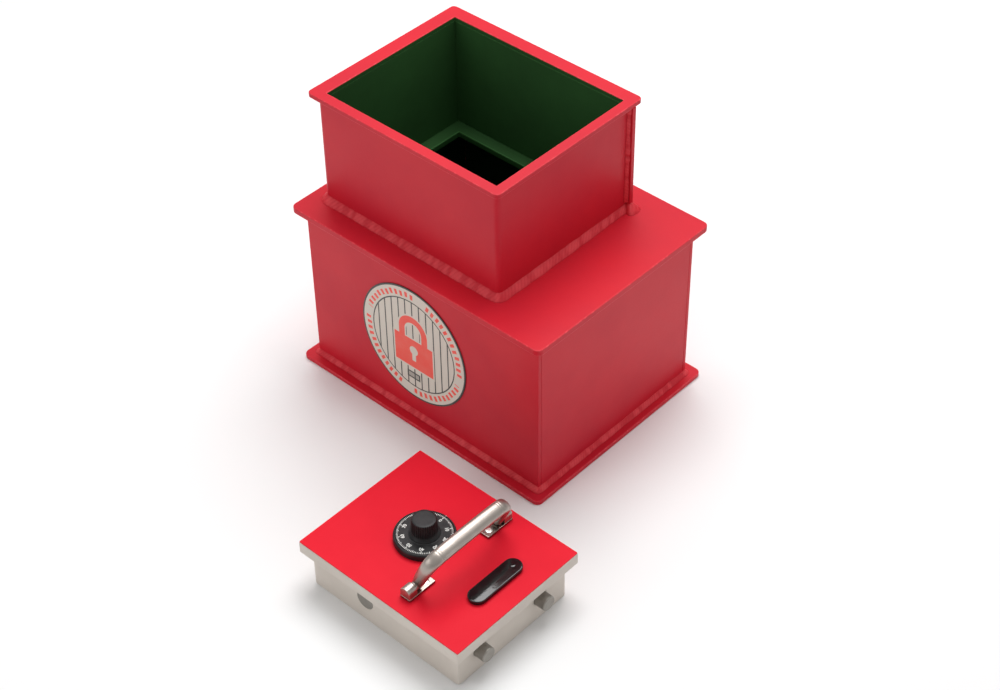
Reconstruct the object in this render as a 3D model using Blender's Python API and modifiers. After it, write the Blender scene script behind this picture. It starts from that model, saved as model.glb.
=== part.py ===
"""Under-floor safe with a lift-out door.

The safe is a welded steel box with a narrower neck on top and a flat rim round the neck's mouth.
The door is a steel plate over a shallow casing.  It carries a combination dial, a folding pull handle,
a key lock under a swing cover, and the bolts that catch under the inner lip of the neck.

Units are metres and +Z is up.  The origin is the centre of the safe's base, on its underside.
Door pieces are placed in the door's own frame, whose origin is on the floor under the door's centre.
"""

import math

import bmesh
import bpy
from mathutils import Matrix, Vector

# ---------------------------------------------------------------- driving dimensions
GAP = 0.0003                      # space left between pieces that touch
ROUND = 32                        # sides of an ordinary round piece
SMALL_ROUND = 16                  # sides of a screw, stud or small bore
PAST = 0.01                       # how far a cutter runs past the face that it cuts
SMOOTH_ANGLE = math.radians(35)   # faces that meet at less than this are shaded as one

# lower box
BASE_SIZE = (0.394, 0.305, 0.006)
BASE_CORNER = 0.008
BOX_SIZE = (0.367, 0.273)
BOX_WALL = 0.005
TOP_PLATE_SIZE = (0.392, 0.300, 0.008)
TOP_PLATE_UNDERSIDE = 0.230
LIP_OPENING = (0.228, 0.179)
BASE_BEAD = 0.007

# neck and rim
NECK_CENTRE = (-0.035, 0.001)
NECK_INSIDE = (0.262, 0.212)
NECK_WALL = 0.008
NECK_BEND = 0.012
NECK_TOP = 0.383
REAR_PLATE_THICKNESS = 0.006
REAR_PLATE_OVERHANG = 0.006
RIM_CENTRE = (-0.038, 0.0035)
RIM_SIZE = (0.2945, 0.244, 0.006)
RIM_CORNER = 0.006
NECK_BEAD = 0.0115
CORNER_BEAD = 0.006

# round label on the front wall
LABEL_RADIUS = 0.084
LABEL_CENTRE = (-0.012, 0.118)    # X and Z
LABEL_THICKNESS = 0.0008

# door: position, plate and casing
DOOR_CENTRE = (0.197, -0.317)
DOOR_PLATE = (0.240, 0.192, 0.015)
CASING_INSET = 0.0085
CASING_WALL = 0.003
CASING_CORNER = 0.006
CORNER_BLOCK = 0.012
COVER_THICKNESS = 0.002
COVER_SCREW_RADIUS = 0.0018
COVER_SCREW_HEAD = 0.0036
COVER_SCREW_LENGTH = 0.012
CASING_TOP = 0.049
FACING_THICKNESS = 0.0012
FACING_INSET = 0.0005

# boltwork
BOLT_THROW = 0.014
BOLT_HEIGHT = 0.0313              # centre line of every bolt above the floor
BOLT_PLAY = 0.0005
SIDE_BOLT_RADIUS = 0.0093
SIDE_BOLT_Y = 0.045
FIXED_BOLT_Y = (-0.0538, 0.0422)
FIXED_BOLT_REACH = 0.014
FIXED_BOLT_FLANGE = (0.012, 0.005)   # radius and thickness
END_BOLT_RADIUS = 0.0115
END_BOLT_X = -0.0276
END_BOLT_BACK = 0.0605            # distance of the bolt's inner end from the door's middle
TANG_HALF_WIDTH = 0.006
TANG_Z = (0.0262, 0.0292)
DRIVE_PIN_RADIUS = 0.003
DRIVE_PIN_Y = 0.038
CARRIAGE_Z = (0.0298, 0.0328)
CARRIAGE_X = (-0.0880, 0.060)
CARRIAGE_HALF_WIDTH = 0.060
FLANGE_X = (-0.0897, -0.0867)
FLANGE_Z = (0.022, 0.0406)
FLANGE_HALF_WIDTH = 0.056
CUT_MARGIN = 0.0045               # how far the carriage's cutters run above and below it
STUD_PLACES = ((-0.066, -0.045), (-0.066, 0.045), (0.036, -0.045), (0.036, 0.045))
STUD_RADIUS = 0.003
STUD_HEAD_RADIUS = 0.0055
STUD_FOOT = 0.0270
SLOT_PLAY = 0.0004
WINDOW_PLAY = 0.0015

# combination lock
DIAL_AXIS = (-0.0195, 0.0)
RING_RADIUS = 0.0355
RING_FLOOR_RADIUS = 0.027
RING_HEIGHT = 0.0084
DIAL_RADIUS = 0.0326
DIAL_THICKNESS = 0.0056
KNOB_HEIGHT = 0.023
SPINDLE_RADIUS = 0.0035
SPINDLE_HOLE_PLAY = 0.0015
POST_RADIUS = 0.0055
POST_TOP = 0.0457
WHEEL_RADIUS = 0.018
WHEEL_THICKNESS = 0.003
CAM_THICKNESS = 0.0035
WHEEL_PLAY = 0.0004
WHEEL_PITCH = 0.0036
WHEEL_COUNT = 3
LOWEST_WHEEL = 0.0343
GATE_WIDTH = 0.005
GATE_DEPTH = 0.004
LOCK_CASE_X = (-0.070, 0.004)
LOCK_CASE_HALF_WIDTH = 0.029
LOCK_CASE_WALL = 0.0025
LOCK_COVER_Z = (0.024, 0.026)
LOCK_BOLT_HALF_WIDTH = 0.009
LOCK_BOLT_Z = (0.0295, 0.0405)
LOCK_BOLT_THROW = 0.008
LEVER_PIVOT = (-0.0535, 0.0220)

# key lock
KEY_AXIS = (0.0826, -0.025)
PINION_MODULE = 0.00125
PINION_TEETH = 16
PLUG_RADIUS = 0.007
PLUG_HOLE_PLAY = 0.0006
PLUG_SPINDLE_RADIUS = 0.0032
KEYWAY = (0.0022, 0.0080, 0.018)  # width, length and depth
KEY_CASE_X = (0.067, 0.098)
KEY_CASE_Y = (-0.042, -0.007)
KEY_CASE_FOOT = 0.0345
COVER_PIVOT = (0.0826, 0.0308)
COVER_SIZE = (0.0223, 0.078)      # width and length of the rounded swing cover
SWING_COVER_THICKNESS = 0.0035
KEYHOLE_PLATE_THICKNESS = 0.0016
COVER_RIVET_RADIUS = 0.0026

# pull handle
HANDLE_X = 0.0264
HANDLE_Y = 0.0032
HANDLE_LEAN = math.radians(23.5)  # from upright, towards +X
PIVOT_HEIGHT = 0.009              # above the facing
FOOT_LENGTH = 0.040
FOOT_WIDTH = 0.015
FOOT_BASE = 0.003
FOOT_END = 0.0818                 # outer end of a foot, from the handle's middle
KNUCKLE_LENGTH = 0.013
KNUCKLE_HEIGHT = 0.0155
KNUCKLE_ROUND = 0.0062
KNUCKLE_STEP = 0.0004             # the knuckle stands in from the strip's edge by this much
FOOT_SCREW_RADIUS = 0.0050
FOOT_SCREW_INSET = 0.009          # from the strip's inner end
GRIP_THICKNESS = 0.0112
GRIP_WIDTH = 0.0176
ARM_LENGTH = 0.050
LEG_MIDDLE = 0.0625               # a leg's centre line, from the handle's middle
BOSS_RADIUS = 0.0053
PIVOT_PIN_RADIUS = 0.0025
PIN_INNER = 0.0618                # inner end of a pivot pin, from the handle's middle

# derived heights
BASE_TOP = BASE_SIZE[2]
TOP_PLATE_TOP = TOP_PLATE_UNDERSIDE + TOP_PLATE_SIZE[2]
PLATE_UNDERSIDE = CASING_TOP + GAP
PLATE_TOP = PLATE_UNDERSIDE + DOOR_PLATE[2]
FACING_TOP = PLATE_TOP + GAP + FACING_THICKNESS
ON_FACING = FACING_TOP + GAP
PINION_RADIUS = PINION_MODULE * PINION_TEETH / 2
CASING_HALF = (DOOR_PLATE[0] / 2 - CASING_INSET, DOOR_PLATE[1] / 2 - CASING_INSET)
DIAL_FACE = ON_FACING + RING_HEIGHT
PIVOT_Z = FACING_TOP + PIVOT_HEIGHT

# ---------------------------------------------------------------- colours
PAINTS = {
    "red_paint": ((0.55, 0.012, 0.022), 0.45, 0.0),
    "red_facing": ((0.80, 0.012, 0.022), 0.55, 0.0),
    "red_weld": ((0.60, 0.045, 0.045), 0.50, 0.0),
    "label_print": ((0.80, 0.79, 0.73), 0.40, 0.0),
    "grey_paint": ((0.40, 0.38, 0.34), 0.45, 0.1),
    "bolt_steel": ((0.30, 0.31, 0.30), 0.40, 0.6),
    "black_enamel": ((0.012, 0.012, 0.012), 0.25, 0.0),
    "nickel": ((0.50, 0.46, 0.43), 0.30, 0.9),
    "zinc_steel": ((0.52, 0.52, 0.50), 0.35, 0.9),
    "brass": ((0.55, 0.38, 0.12), 0.35, 0.9),
}


# ---------------------------------------------------------------- building tools
def clear_scene():
    for obj in list(bpy.data.objects):
        bpy.data.objects.remove(obj, do_unlink=True)


def make_collection(name):
    collection = bpy.data.collections.new(name)
    bpy.context.scene.collection.children.link(collection)
    return collection


def make_materials():
    made = {}
    for name, (colour, roughness, metallic) in PAINTS.items():
        material = bpy.data.materials.new(name)
        material.use_nodes = True
        shader = material.node_tree.nodes["Principled BSDF"]
        shader.inputs["Base Color"].default_value = (*colour, 1.0)
        shader.inputs["Roughness"].default_value = roughness
        shader.inputs["Metallic"].default_value = metallic
        made[name] = material
    return made


class Builder:
    """Adds pieces to the safe's collection and cutters to another, under one parent empty."""

    def __init__(self, pieces, cutters, materials, frame):
        self.pieces = pieces
        self.cutters = cutters
        self.materials = materials
        self.frame = frame

    def add(self, name, mesh, place, paint):
        """Link a mesh as an object: a piece when it has a paint, otherwise a cutter."""
        obj = bpy.data.objects.new(name, mesh)
        obj.parent = self.frame
        obj.location = place
        if paint is None:
            self.cutters.objects.link(obj)
            obj.hide_render = True
            obj.display_type = "WIRE"
        else:
            self.pieces.objects.link(obj)
            mesh.materials.append(self.materials[paint])
        return obj

    def box(self, name, low, high, paint=None):
        """A box between two corners."""
        low, high = Vector(low), Vector(high)
        shape = bmesh.new()
        bmesh.ops.create_cube(shape, size=1.0)
        bmesh.ops.scale(shape, vec=high - low, verts=shape.verts)
        return self.add(name, finish_mesh(shape, name), (low + high) / 2, paint)

    def rod(self, name, radius, start, end, paint=None, sides=ROUND, tip_radius=None):
        """A cylinder, or a cone when tip_radius is given, from start to end."""
        start, end = Vector(start), Vector(end)
        run = end - start
        shape = bmesh.new()
        far = radius if tip_radius is None else tip_radius
        bmesh.ops.create_cone(shape, cap_ends=True, segments=sides,
                              radius1=radius, radius2=far, depth=run.length)
        turn = Vector((0, 0, 1)).rotation_difference(run).to_matrix().to_4x4()
        bmesh.ops.transform(shape, matrix=turn, verts=shape.verts)
        obj = self.add(name, finish_mesh(shape, name), (start + end) / 2, paint)
        smooth_round(obj.data)
        return obj

    def turned(self, name, profile, place, paint=None, sides=ROUND, axis="Z"):
        """A turned piece: profile is (radius, height) pairs, down the outer side from the top."""
        shape = bmesh.new()
        verts = [shape.verts.new((radius, 0, height)) for radius, height in profile]
        for here, there in zip(verts, verts[1:]):
            shape.edges.new((here, there))
        if profile[0][0] > 0 and profile[-1][0] > 0:
            shape.edges.new((verts[-1], verts[0]))
        obj = self.add(name, finish_mesh(shape, name), place, paint)
        screw = obj.modifiers.new("turn", "SCREW")
        screw.angle = 2 * math.pi
        screw.steps = sides
        screw.render_steps = sides
        screw.use_merge_vertices = True
        screw.merge_threshold = 0.00005
        profile_line = obj.data
        obj.data = evaluated_mesh(obj)
        obj.modifiers.clear()
        bpy.data.meshes.remove(profile_line)
        obj.data.name = name
        smooth_round(obj.data)
        if axis == "X":
            obj.rotation_euler = (0, math.pi / 2, 0)
        return obj

    def slot(self, name, start, end, radius, low, high, paint=None):
        """A prism with round ends round the line from start to end, and its own origin at end."""
        heading = math.atan2(end[1] - start[1], end[0] - start[0])
        points = []
        for (x, y), first in ((end, heading - math.pi / 2), (start, heading + math.pi / 2)):
            for step in range(ROUND // 2 + 1):
                angle = first + math.pi * step / (ROUND // 2)
                points.append((x + radius * math.cos(angle), y + radius * math.sin(angle)))
        return self.outline(name, points, low, high, paint, origin=end)

    def outline(self, name, points, low, high, paint=None, origin=(0, 0)):
        """A flat prism from a closed outline of (x, y) points, with its own origin at a given place."""
        curve = bpy.data.curves.new(name, "CURVE")
        curve.dimensions = "2D"
        curve.fill_mode = "BOTH"
        curve.extrude = (high - low) / 2
        spline = curve.splines.new("POLY")
        spline.points.add(len(points) - 1)
        for point, (x, y) in zip(spline.points, points):
            point.co = (x - origin[0], y - origin[1], 0, 1)
        spline.use_cyclic_u = True
        return self.from_curve(name, curve, (*origin, (low + high) / 2), paint)

    def from_curve(self, name, curve, place, paint):
        """Turn a curve into a closed mesh object."""
        guide = bpy.data.objects.new(name + "_guide", curve)
        self.cutters.objects.link(guide)
        mesh = evaluated_mesh(guide)
        bpy.data.objects.remove(guide)
        bpy.data.curves.remove(curve)
        shape = bmesh.new()
        shape.from_mesh(mesh)
        bmesh.ops.remove_doubles(shape, verts=shape.verts, dist=0.00002)
        bmesh.ops.recalc_face_normals(shape, faces=shape.faces)
        bmesh.ops.dissolve_limit(shape, angle_limit=0.001, verts=shape.verts, edges=shape.edges)
        mesh.materials.clear()
        shape.to_mesh(mesh)
        shape.free()
        mesh.name = name
        return self.add(name, mesh, place, paint)


def evaluated_mesh(obj):
    """A new mesh of an object as its modifiers or its bevel make it."""
    bpy.context.view_layer.update()
    return bpy.data.meshes.new_from_object(obj.evaluated_get(bpy.context.evaluated_depsgraph_get()))


def finish_mesh(shape, name):
    mesh = bpy.data.meshes.new(name)
    shape.to_mesh(mesh)
    shape.free()
    return mesh


def smooth_round(mesh):
    mesh.shade_smooth()
    mesh.set_sharp_from_angle(angle=SMOOTH_ANGLE)


def combine(target, other, operation="DIFFERENCE"):
    """Cut another object out of the target, or join it on."""
    boolean = target.modifiers.new(other.name, "BOOLEAN")
    boolean.operation = operation
    boolean.solver = "EXACT"
    boolean.object = other
    return target


def round_edges(obj, radius, wanted, segments=3):
    """Round the edges whose middle and direction the wanted test picks."""
    mesh = obj.data
    weights = mesh.attributes.new("bevel_weight_edge", "FLOAT", "EDGE")
    for edge in mesh.edges:
        first, second = (mesh.vertices[index].co for index in edge.vertices)
        if wanted((first + second) / 2, (second - first).normalized()):
            weights.data[edge.index].value = 1.0
    bevel = obj.modifiers.new("round", "BEVEL")
    bevel.limit_method = "WEIGHT"
    bevel.width = radius
    bevel.segments = segments
    return obj


def upright(middle, direction):
    return abs(direction.z) > 0.99


def front_upright(middle, direction):
    return upright(middle, direction) and middle.y < 0


# ---------------------------------------------------------------- the safe's body
def build_lower_box(safe):
    half_x, half_y = BOX_SIZE[0] / 2, BOX_SIZE[1] / 2
    base = safe.box("base_plate", (-BASE_SIZE[0] / 2, -BASE_SIZE[1] / 2, 0),
                    (BASE_SIZE[0] / 2, BASE_SIZE[1] / 2, BASE_TOP), "red_paint")
    round_edges(base, BASE_CORNER, upright)
    low, high = BASE_TOP + GAP, TOP_PLATE_UNDERSIDE - GAP
    for name, side in (("front_wall", -1), ("rear_wall", 1)):
        inner, outer = sorted((side * (half_y - BOX_WALL), side * half_y))
        safe.box(name, (-half_x, inner, low), (half_x, outer, high), "red_paint")
    side_half = half_y - BOX_WALL - GAP
    for name, side in (("left_wall", -1), ("right_wall", 1)):
        inner, outer = sorted((side * (half_x - BOX_WALL), side * half_x))
        safe.box(name, (inner, -side_half, low), (outer, side_half, high), "red_paint")
    top = safe.box("top_plate", (-TOP_PLATE_SIZE[0] / 2, -TOP_PLATE_SIZE[1] / 2, TOP_PLATE_UNDERSIDE),
                   (TOP_PLATE_SIZE[0] / 2, TOP_PLATE_SIZE[1] / 2, TOP_PLATE_TOP), "red_paint")
    round_edges(top, BASE_CORNER, upright)
    combine(top, centred_cutter(safe, "lip_opening", NECK_CENTRE, LIP_OPENING,
                                TOP_PLATE_UNDERSIDE - PAST, TOP_PLATE_TOP + PAST))
    bead_ring(safe, "base_weld", BASE_BEAD, BASE_TOP + GAP,
              [((-half_x, -half_y), (half_x, half_y), 0)])


def centred_cutter(builder, name, centre, size, low, high):
    return builder.box(name, (centre[0] - size[0] / 2, centre[1] - size[1] / 2, low),
                       (centre[0] + size[0] / 2, centre[1] + size[1] / 2, high))


def bead_ring(builder, name, leg, floor, footprints):
    """A weld bead with a sloping face round one or more footprints: low corner, high corner, radius."""
    low_x = min(low[0] for low, high, radius in footprints) - leg
    low_y = min(low[1] for low, high, radius in footprints) - leg
    high_x = max(high[0] for low, high, radius in footprints) + leg
    high_y = max(high[1] for low, high, radius in footprints) + leg
    bead = builder.box(name, (low_x, low_y, floor), (high_x, high_y, floor + leg), "red_weld")
    round_edges(bead, leg * 0.8, lambda middle, run: middle.z > 0 and not upright(middle, run), 2)
    for number, (low, high, radius) in enumerate(footprints, 1):
        inside = builder.box(f"{name}_inside_{number}", (low[0] - GAP, low[1] - GAP, floor - leg),
                             (high[0] + GAP, high[1] + GAP, floor + 2 * leg))
        if radius:
            round_edges(inside, radius, front_upright, 4)
        combine(bead, inside)


def build_neck(safe):
    in_x, in_y = NECK_INSIDE[0] / 2, NECK_INSIDE[1] / 2
    low, high = TOP_PLATE_TOP + GAP, NECK_TOP - GAP
    left, right = NECK_CENTRE[0] - in_x - NECK_WALL, NECK_CENTRE[0] + in_x + NECK_WALL
    front, back = NECK_CENTRE[1] - in_y - NECK_WALL, NECK_CENTRE[1] + in_y
    shell = safe.box("neck_shell", (left, front, low), (right, back - GAP, high), "red_paint")
    round_edges(shell, NECK_BEND, front_upright, 4)
    hollow = safe.box("neck_hollow", (left + NECK_WALL, front + NECK_WALL, low - PAST),
                      (right - NECK_WALL, back + PAST, high + PAST))
    round_edges(hollow, NECK_BEND - NECK_WALL, front_upright, 2)
    combine(shell, hollow)

    rear_low = (left - REAR_PLATE_OVERHANG, back)
    rear_high = (right + REAR_PLATE_OVERHANG, back + REAR_PLATE_THICKNESS)
    safe.box("neck_rear_plate", (*rear_low, low), (*rear_high, high), "red_paint")

    rim = safe.box("neck_rim", (RIM_CENTRE[0] - RIM_SIZE[0] / 2, RIM_CENTRE[1] - RIM_SIZE[1] / 2, NECK_TOP),
                   (RIM_CENTRE[0] + RIM_SIZE[0] / 2, RIM_CENTRE[1] + RIM_SIZE[1] / 2,
                    NECK_TOP + RIM_SIZE[2]), "red_paint")
    round_edges(rim, RIM_CORNER, upright)
    combine(rim, centred_cutter(safe, "rim_opening", NECK_CENTRE, NECK_INSIDE,
                                NECK_TOP - PAST, NECK_TOP + RIM_SIZE[2] + PAST))

    bead_ring(safe, "neck_weld", NECK_BEAD, TOP_PLATE_TOP + GAP,
              [((left, front), (right, back), NECK_BEND), (rear_low, rear_high, 0)])
    bead_foot = TOP_PLATE_TOP + GAP + NECK_BEAD + GAP
    for name, side, wall in (("corner_weld_left", -1, left), ("corner_weld_right", 1, right)):
        near, far = sorted((wall + side * GAP, wall + side * CORNER_BEAD))
        bead = safe.box(name, (near, back - GAP - CORNER_BEAD, bead_foot),
                        (far, back - GAP, high - GAP), "red_weld")
        round_edges(bead, CORNER_BEAD * 0.7, lambda middle, run, side=side:
                    upright(middle, run) and middle.y < 0 and middle.x * side > 0, 2)


def build_label(safe):
    wall_face = -BOX_SIZE[1] / 2 - GAP
    x, z = LABEL_CENTRE
    safe.rod("label_disc", LABEL_RADIUS, (x, wall_face, z), (x, wall_face - LABEL_THICKNESS, z),
             "label_print", sides=64)


# ---------------------------------------------------------------- the door's fixed parts
def build_door_shell(door):
    half_x, half_y = CASING_HALF
    plate_half = (DOOR_PLATE[0] / 2, DOOR_PLATE[1] / 2)
    plate = door.box("door_plate", (-plate_half[0], -plate_half[1], PLATE_UNDERSIDE),
                     (*plate_half, PLATE_TOP), "grey_paint")
    facing_half = (plate_half[0] - FACING_INSET, plate_half[1] - FACING_INSET)
    facing = door.box("door_facing", (-facing_half[0], -facing_half[1], PLATE_TOP + GAP),
                      (*facing_half, FACING_TOP), "red_facing")
    spindle_hole = door.rod("spindle_hole", SPINDLE_RADIUS + SPINDLE_HOLE_PLAY,
                            (*DIAL_AXIS, PLATE_UNDERSIDE - PAST), (*DIAL_AXIS, FACING_TOP + PAST))
    plug_hole = door.rod("plug_hole", PLUG_RADIUS + PLUG_HOLE_PLAY,
                         (*KEY_AXIS, PLATE_UNDERSIDE - PAST), (*KEY_AXIS, FACING_TOP + PAST))
    for sheet in (plate, facing):
        combine(sheet, spindle_hole)
        combine(sheet, plug_hole)

    casing = door.box("door_casing", (-half_x, -half_y, COVER_THICKNESS + GAP),
                      (half_x, half_y, CASING_TOP), "grey_paint")
    round_edges(casing, CASING_CORNER, lambda middle, run: upright(middle, run) and not
                (middle.x > 0 and middle.y < 0))
    in_x, in_y = half_x - CASING_WALL, half_y - CASING_WALL
    for name, cut_x, cut_y in (("casing_hollow_long", in_x, in_y - CORNER_BLOCK),
                               ("casing_hollow_wide", in_x - CORNER_BLOCK, in_y)):
        combine(casing, door.box(name, (-cut_x, -cut_y, -PAST), (cut_x, cut_y, CASING_TOP + PAST)))
    for number, y in enumerate((-SIDE_BOLT_Y, SIDE_BOLT_Y), 1):
        combine(casing, door.rod(f"left_bolt_hole_{number}", SIDE_BOLT_RADIUS + BOLT_PLAY,
                                 (-half_x - PAST, y, BOLT_HEIGHT), (-in_x + CASING_WALL, y, BOLT_HEIGHT)))
    for number, y in enumerate(FIXED_BOLT_Y, 1):
        combine(casing, door.rod(f"fixed_bolt_hole_{number}", SIDE_BOLT_RADIUS + BOLT_PLAY,
                                 (in_x - CASING_WALL, y, BOLT_HEIGHT), (half_x + PAST, y, BOLT_HEIGHT)))
    for name, side in (("front_bolt_hole", -1), ("rear_bolt_hole", 1)):
        combine(casing, door.rod(name, END_BOLT_RADIUS + BOLT_PLAY,
                                 (END_BOLT_X, side * (in_y - CASING_WALL), BOLT_HEIGHT),
                                 (END_BOLT_X, side * (half_y + PAST), BOLT_HEIGHT)))

    cover = door.box("back_cover", (-half_x, -half_y, 0), (half_x, half_y, COVER_THICKNESS), "grey_paint")
    round_edges(cover, CASING_CORNER, upright)
    build_cover_screws(door, cover, casing, (in_x - CORNER_BLOCK / 2, in_y - CORNER_BLOCK / 2))


def build_cover_screws(door, cover, casing, reach):
    """Four countersunk screws in the corner blocks, reach being their distance from the middle."""
    shank, head, length = COVER_SCREW_RADIUS, COVER_SCREW_HEAD, COVER_SCREW_LENGTH
    hole = shank + 0.0004
    profile = [(0, length), (shank, length - 0.0005), (shank, head - shank + GAP),
               (head, GAP), (head, 0.0001), (0, 0.0001)]
    places = [(x, y) for x in (-reach[0], reach[0]) for y in (-reach[1], reach[1])]
    for number, (x, y) in enumerate(places, 1):
        combine(cover, door.rod(f"countersink_{number}", head + 0.0014, (x, y, -0.0004),
                                (x, y, COVER_THICKNESS + 0.0004), tip_radius=hole, sides=SMALL_ROUND))
        combine(casing, door.rod(f"thread_{number}", hole, (x, y, 0), (x, y, length + 0.001),
                                 sides=SMALL_ROUND))
        door.turned(f"cover_screw_{number}", profile, (x, y, 0), "zinc_steel", sides=SMALL_ROUND)


def build_fixed_bolts(door):
    half_x = CASING_HALF[0]
    flange_top = half_x - CASING_WALL - GAP
    reach = half_x + FIXED_BOLT_REACH
    flange_radius, flange_depth = FIXED_BOLT_FLANGE
    for number, y in enumerate(FIXED_BOLT_Y, 1):
        profile = [(0, reach), (SIDE_BOLT_RADIUS - 0.0015, reach), (SIDE_BOLT_RADIUS, reach - 0.0015),
                   (SIDE_BOLT_RADIUS, flange_top), (flange_radius, flange_top),
                   (flange_radius, flange_top - flange_depth), (0, flange_top - flange_depth)]
        door.turned(f"fixed_bolt_{number}", profile, (0, y, BOLT_HEIGHT), "bolt_steel", axis="X")


def build_handle_feet(door):
    """Each foot is a base strip with a knuckle block at its outer end and a screw near its inner end."""
    low, strip_top = ON_FACING, ON_FACING + FOOT_BASE
    half = FOOT_WIDTH / 2
    knuckle_half = half - KNUCKLE_STEP
    for name, side in (("front", -1), ("rear", 1)):
        outer, inner = HANDLE_Y + side * FOOT_END, HANDLE_Y + side * (FOOT_END - FOOT_LENGTH)
        knuckle_inner = HANDLE_Y + side * (FOOT_END - KNUCKLE_LENGTH)
        y_low, y_high = sorted((outer, inner))
        foot = door.box(f"handle_foot_{name}", (HANDLE_X - half, y_low, low),
                        (HANDLE_X + half, y_high, strip_top), "nickel")
        y_low, y_high = sorted((outer, knuckle_inner))
        knuckle = door.box(f"knuckle_{name}",
                           (HANDLE_X - knuckle_half, y_low + KNUCKLE_STEP, low + FOOT_BASE / 3),
                           (HANDLE_X + knuckle_half, y_high - KNUCKLE_STEP, low + KNUCKLE_HEIGHT))
        round_edges(knuckle, KNUCKLE_ROUND, lambda middle, run: abs(run.y) > 0.99 and middle.z > 0, 4)
        combine(foot, knuckle, "UNION")
        combine(foot, door.rod(f"pin_bore_{name}", PIVOT_PIN_RADIUS + GAP,
                               (HANDLE_X, knuckle_inner - side * PAST / 2, PIVOT_Z),
                               (HANDLE_X, outer - side * 0.0007, PIVOT_Z), sides=20))
        door.rod(f"handle_pin_{name}", PIVOT_PIN_RADIUS, (HANDLE_X, outer - side * 0.001, PIVOT_Z),
                 (HANDLE_X, HANDLE_Y + side * PIN_INNER, PIVOT_Z), "zinc_steel", sides=20)
        screw_y = HANDLE_Y + side * (FOOT_END - FOOT_LENGTH + FOOT_SCREW_INSET)
        combine(foot, door.rod(f"foot_countersink_{name}", FOOT_SCREW_RADIUS - 0.0020,
                               (HANDLE_X, screw_y, low - 0.0005), (HANDLE_X, screw_y, strip_top + 0.0005),
                               tip_radius=FOOT_SCREW_RADIUS + 0.0006, sides=24))
        profile = [(0, strip_top - 0.0002), (FOOT_SCREW_RADIUS - 0.0004, strip_top - 0.0002),
                   (FOOT_SCREW_RADIUS / 2, low + 0.0002), (0, low + 0.0002)]
        door.turned(f"foot_screw_{name}", profile, (HANDLE_X, screw_y, 0), "zinc_steel", sides=24)


def build_lock_case(door):
    case_low, case_high = LOCK_COVER_Z[1] + GAP, CASING_TOP - GAP
    half = LOCK_CASE_HALF_WIDTH
    case = door.box("lock_case", (LOCK_CASE_X[0], -half, case_low), (LOCK_CASE_X[1], half, case_high),
                    "zinc_steel")
    in_half = half - LOCK_CASE_WALL
    combine(case, door.box("lock_case_hollow",
                           (LOCK_CASE_X[0] + LOCK_CASE_WALL, -in_half, case_low - PAST),
                           (LOCK_CASE_X[1] - LOCK_CASE_WALL, in_half, POST_TOP + GAP)))
    combine(case, door.box("lock_bolt_port", (LOCK_CASE_X[0] - 0.01, -LOCK_BOLT_HALF_WIDTH - 0.0005,
                                              LOCK_BOLT_Z[0] - 0.0005),
                           (LOCK_CASE_X[0] + 0.01, LOCK_BOLT_HALF_WIDTH + 0.0005, LOCK_BOLT_Z[1] + 0.0005)))
    combine(case, door.rod("case_spindle_hole", SPINDLE_RADIUS + 0.0008, (*DIAL_AXIS, 0.040),
                           (*DIAL_AXIS, 0.055)))
    door.box("lock_cover", (LOCK_CASE_X[0], -half, LOCK_COVER_Z[0]),
             (LOCK_CASE_X[1], half, LOCK_COVER_Z[1]), "zinc_steel")
    bore, foot = SPINDLE_RADIUS + WHEEL_PLAY, LOWEST_WHEEL - 0.0005
    post = [(POST_RADIUS, POST_TOP), (POST_RADIUS, foot), (bore, foot), (bore, POST_TOP)]
    door.turned("wheel_post", post, (*DIAL_AXIS, 0), "brass")


def build_dial_ring(door):
    bore = DIAL_RADIUS + 0.0004
    profile = [(bore, RING_HEIGHT), (RING_RADIUS - 0.0014, RING_HEIGHT),
               (RING_RADIUS - 0.0004, RING_HEIGHT - 0.001), (RING_RADIUS, 0),
               (RING_FLOOR_RADIUS, 0), (RING_FLOOR_RADIUS, 0.002), (bore, 0.002)]
    door.turned("dial_ring", profile, (*DIAL_AXIS, ON_FACING), "black_enamel", sides=48)


def build_key_lock_case(door):
    case = door.box("key_lock_case", (KEY_CASE_X[0], KEY_CASE_Y[0], KEY_CASE_FOOT),
                    (KEY_CASE_X[1], KEY_CASE_Y[1], CASING_TOP - GAP), "zinc_steel")
    combine(case, door.rod("key_case_bore", PLUG_RADIUS + PLUG_HOLE_PLAY,
                           (*KEY_AXIS, KEY_CASE_FOOT - PAST), (*KEY_AXIS, CASING_TOP + PAST)))
    half = (COVER_SIZE[1] - COVER_SIZE[0]) / 2
    middle_y = COVER_PIVOT[1] - half
    low = ON_FACING
    plate = door.slot("keyhole_plate", (COVER_PIVOT[0], middle_y - half), (COVER_PIVOT[0], middle_y + half),
                      COVER_SIZE[0] / 2 - 0.0006, low, low + KEYHOLE_PLATE_THICKNESS, "black_enamel")
    combine(plate, door.rod("keyhole_plate_hole", PLUG_RADIUS + PLUG_HOLE_PLAY,
                            (*KEY_AXIS, low - PAST), (*KEY_AXIS, low + PAST)))
    rivet_low = low + KEYHOLE_PLATE_THICKNESS + GAP
    door.rod("cover_rivet", COVER_RIVET_RADIUS, (*COVER_PIVOT, rivet_low),
             (*COVER_PIVOT, rivet_low + SWING_COVER_THICKNESS), "black_enamel", sides=20)


def build_guide_studs(door):
    low, high = CARRIAGE_Z[0] - SLOT_PLAY, CARRIAGE_Z[1] + SLOT_PLAY
    top, foot = CASING_TOP - GAP, STUD_FOOT
    profile = [(0, top), (STUD_HEAD_RADIUS, top), (STUD_HEAD_RADIUS, high), (STUD_RADIUS, high),
               (STUD_RADIUS, low), (STUD_HEAD_RADIUS, low), (STUD_HEAD_RADIUS, foot), (0, foot)]
    for number, (x, y) in enumerate(STUD_PLACES, 1):
        door.turned(f"guide_stud_{number}", profile, (x, y, 0), "zinc_steel", sides=SMALL_ROUND)


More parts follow.
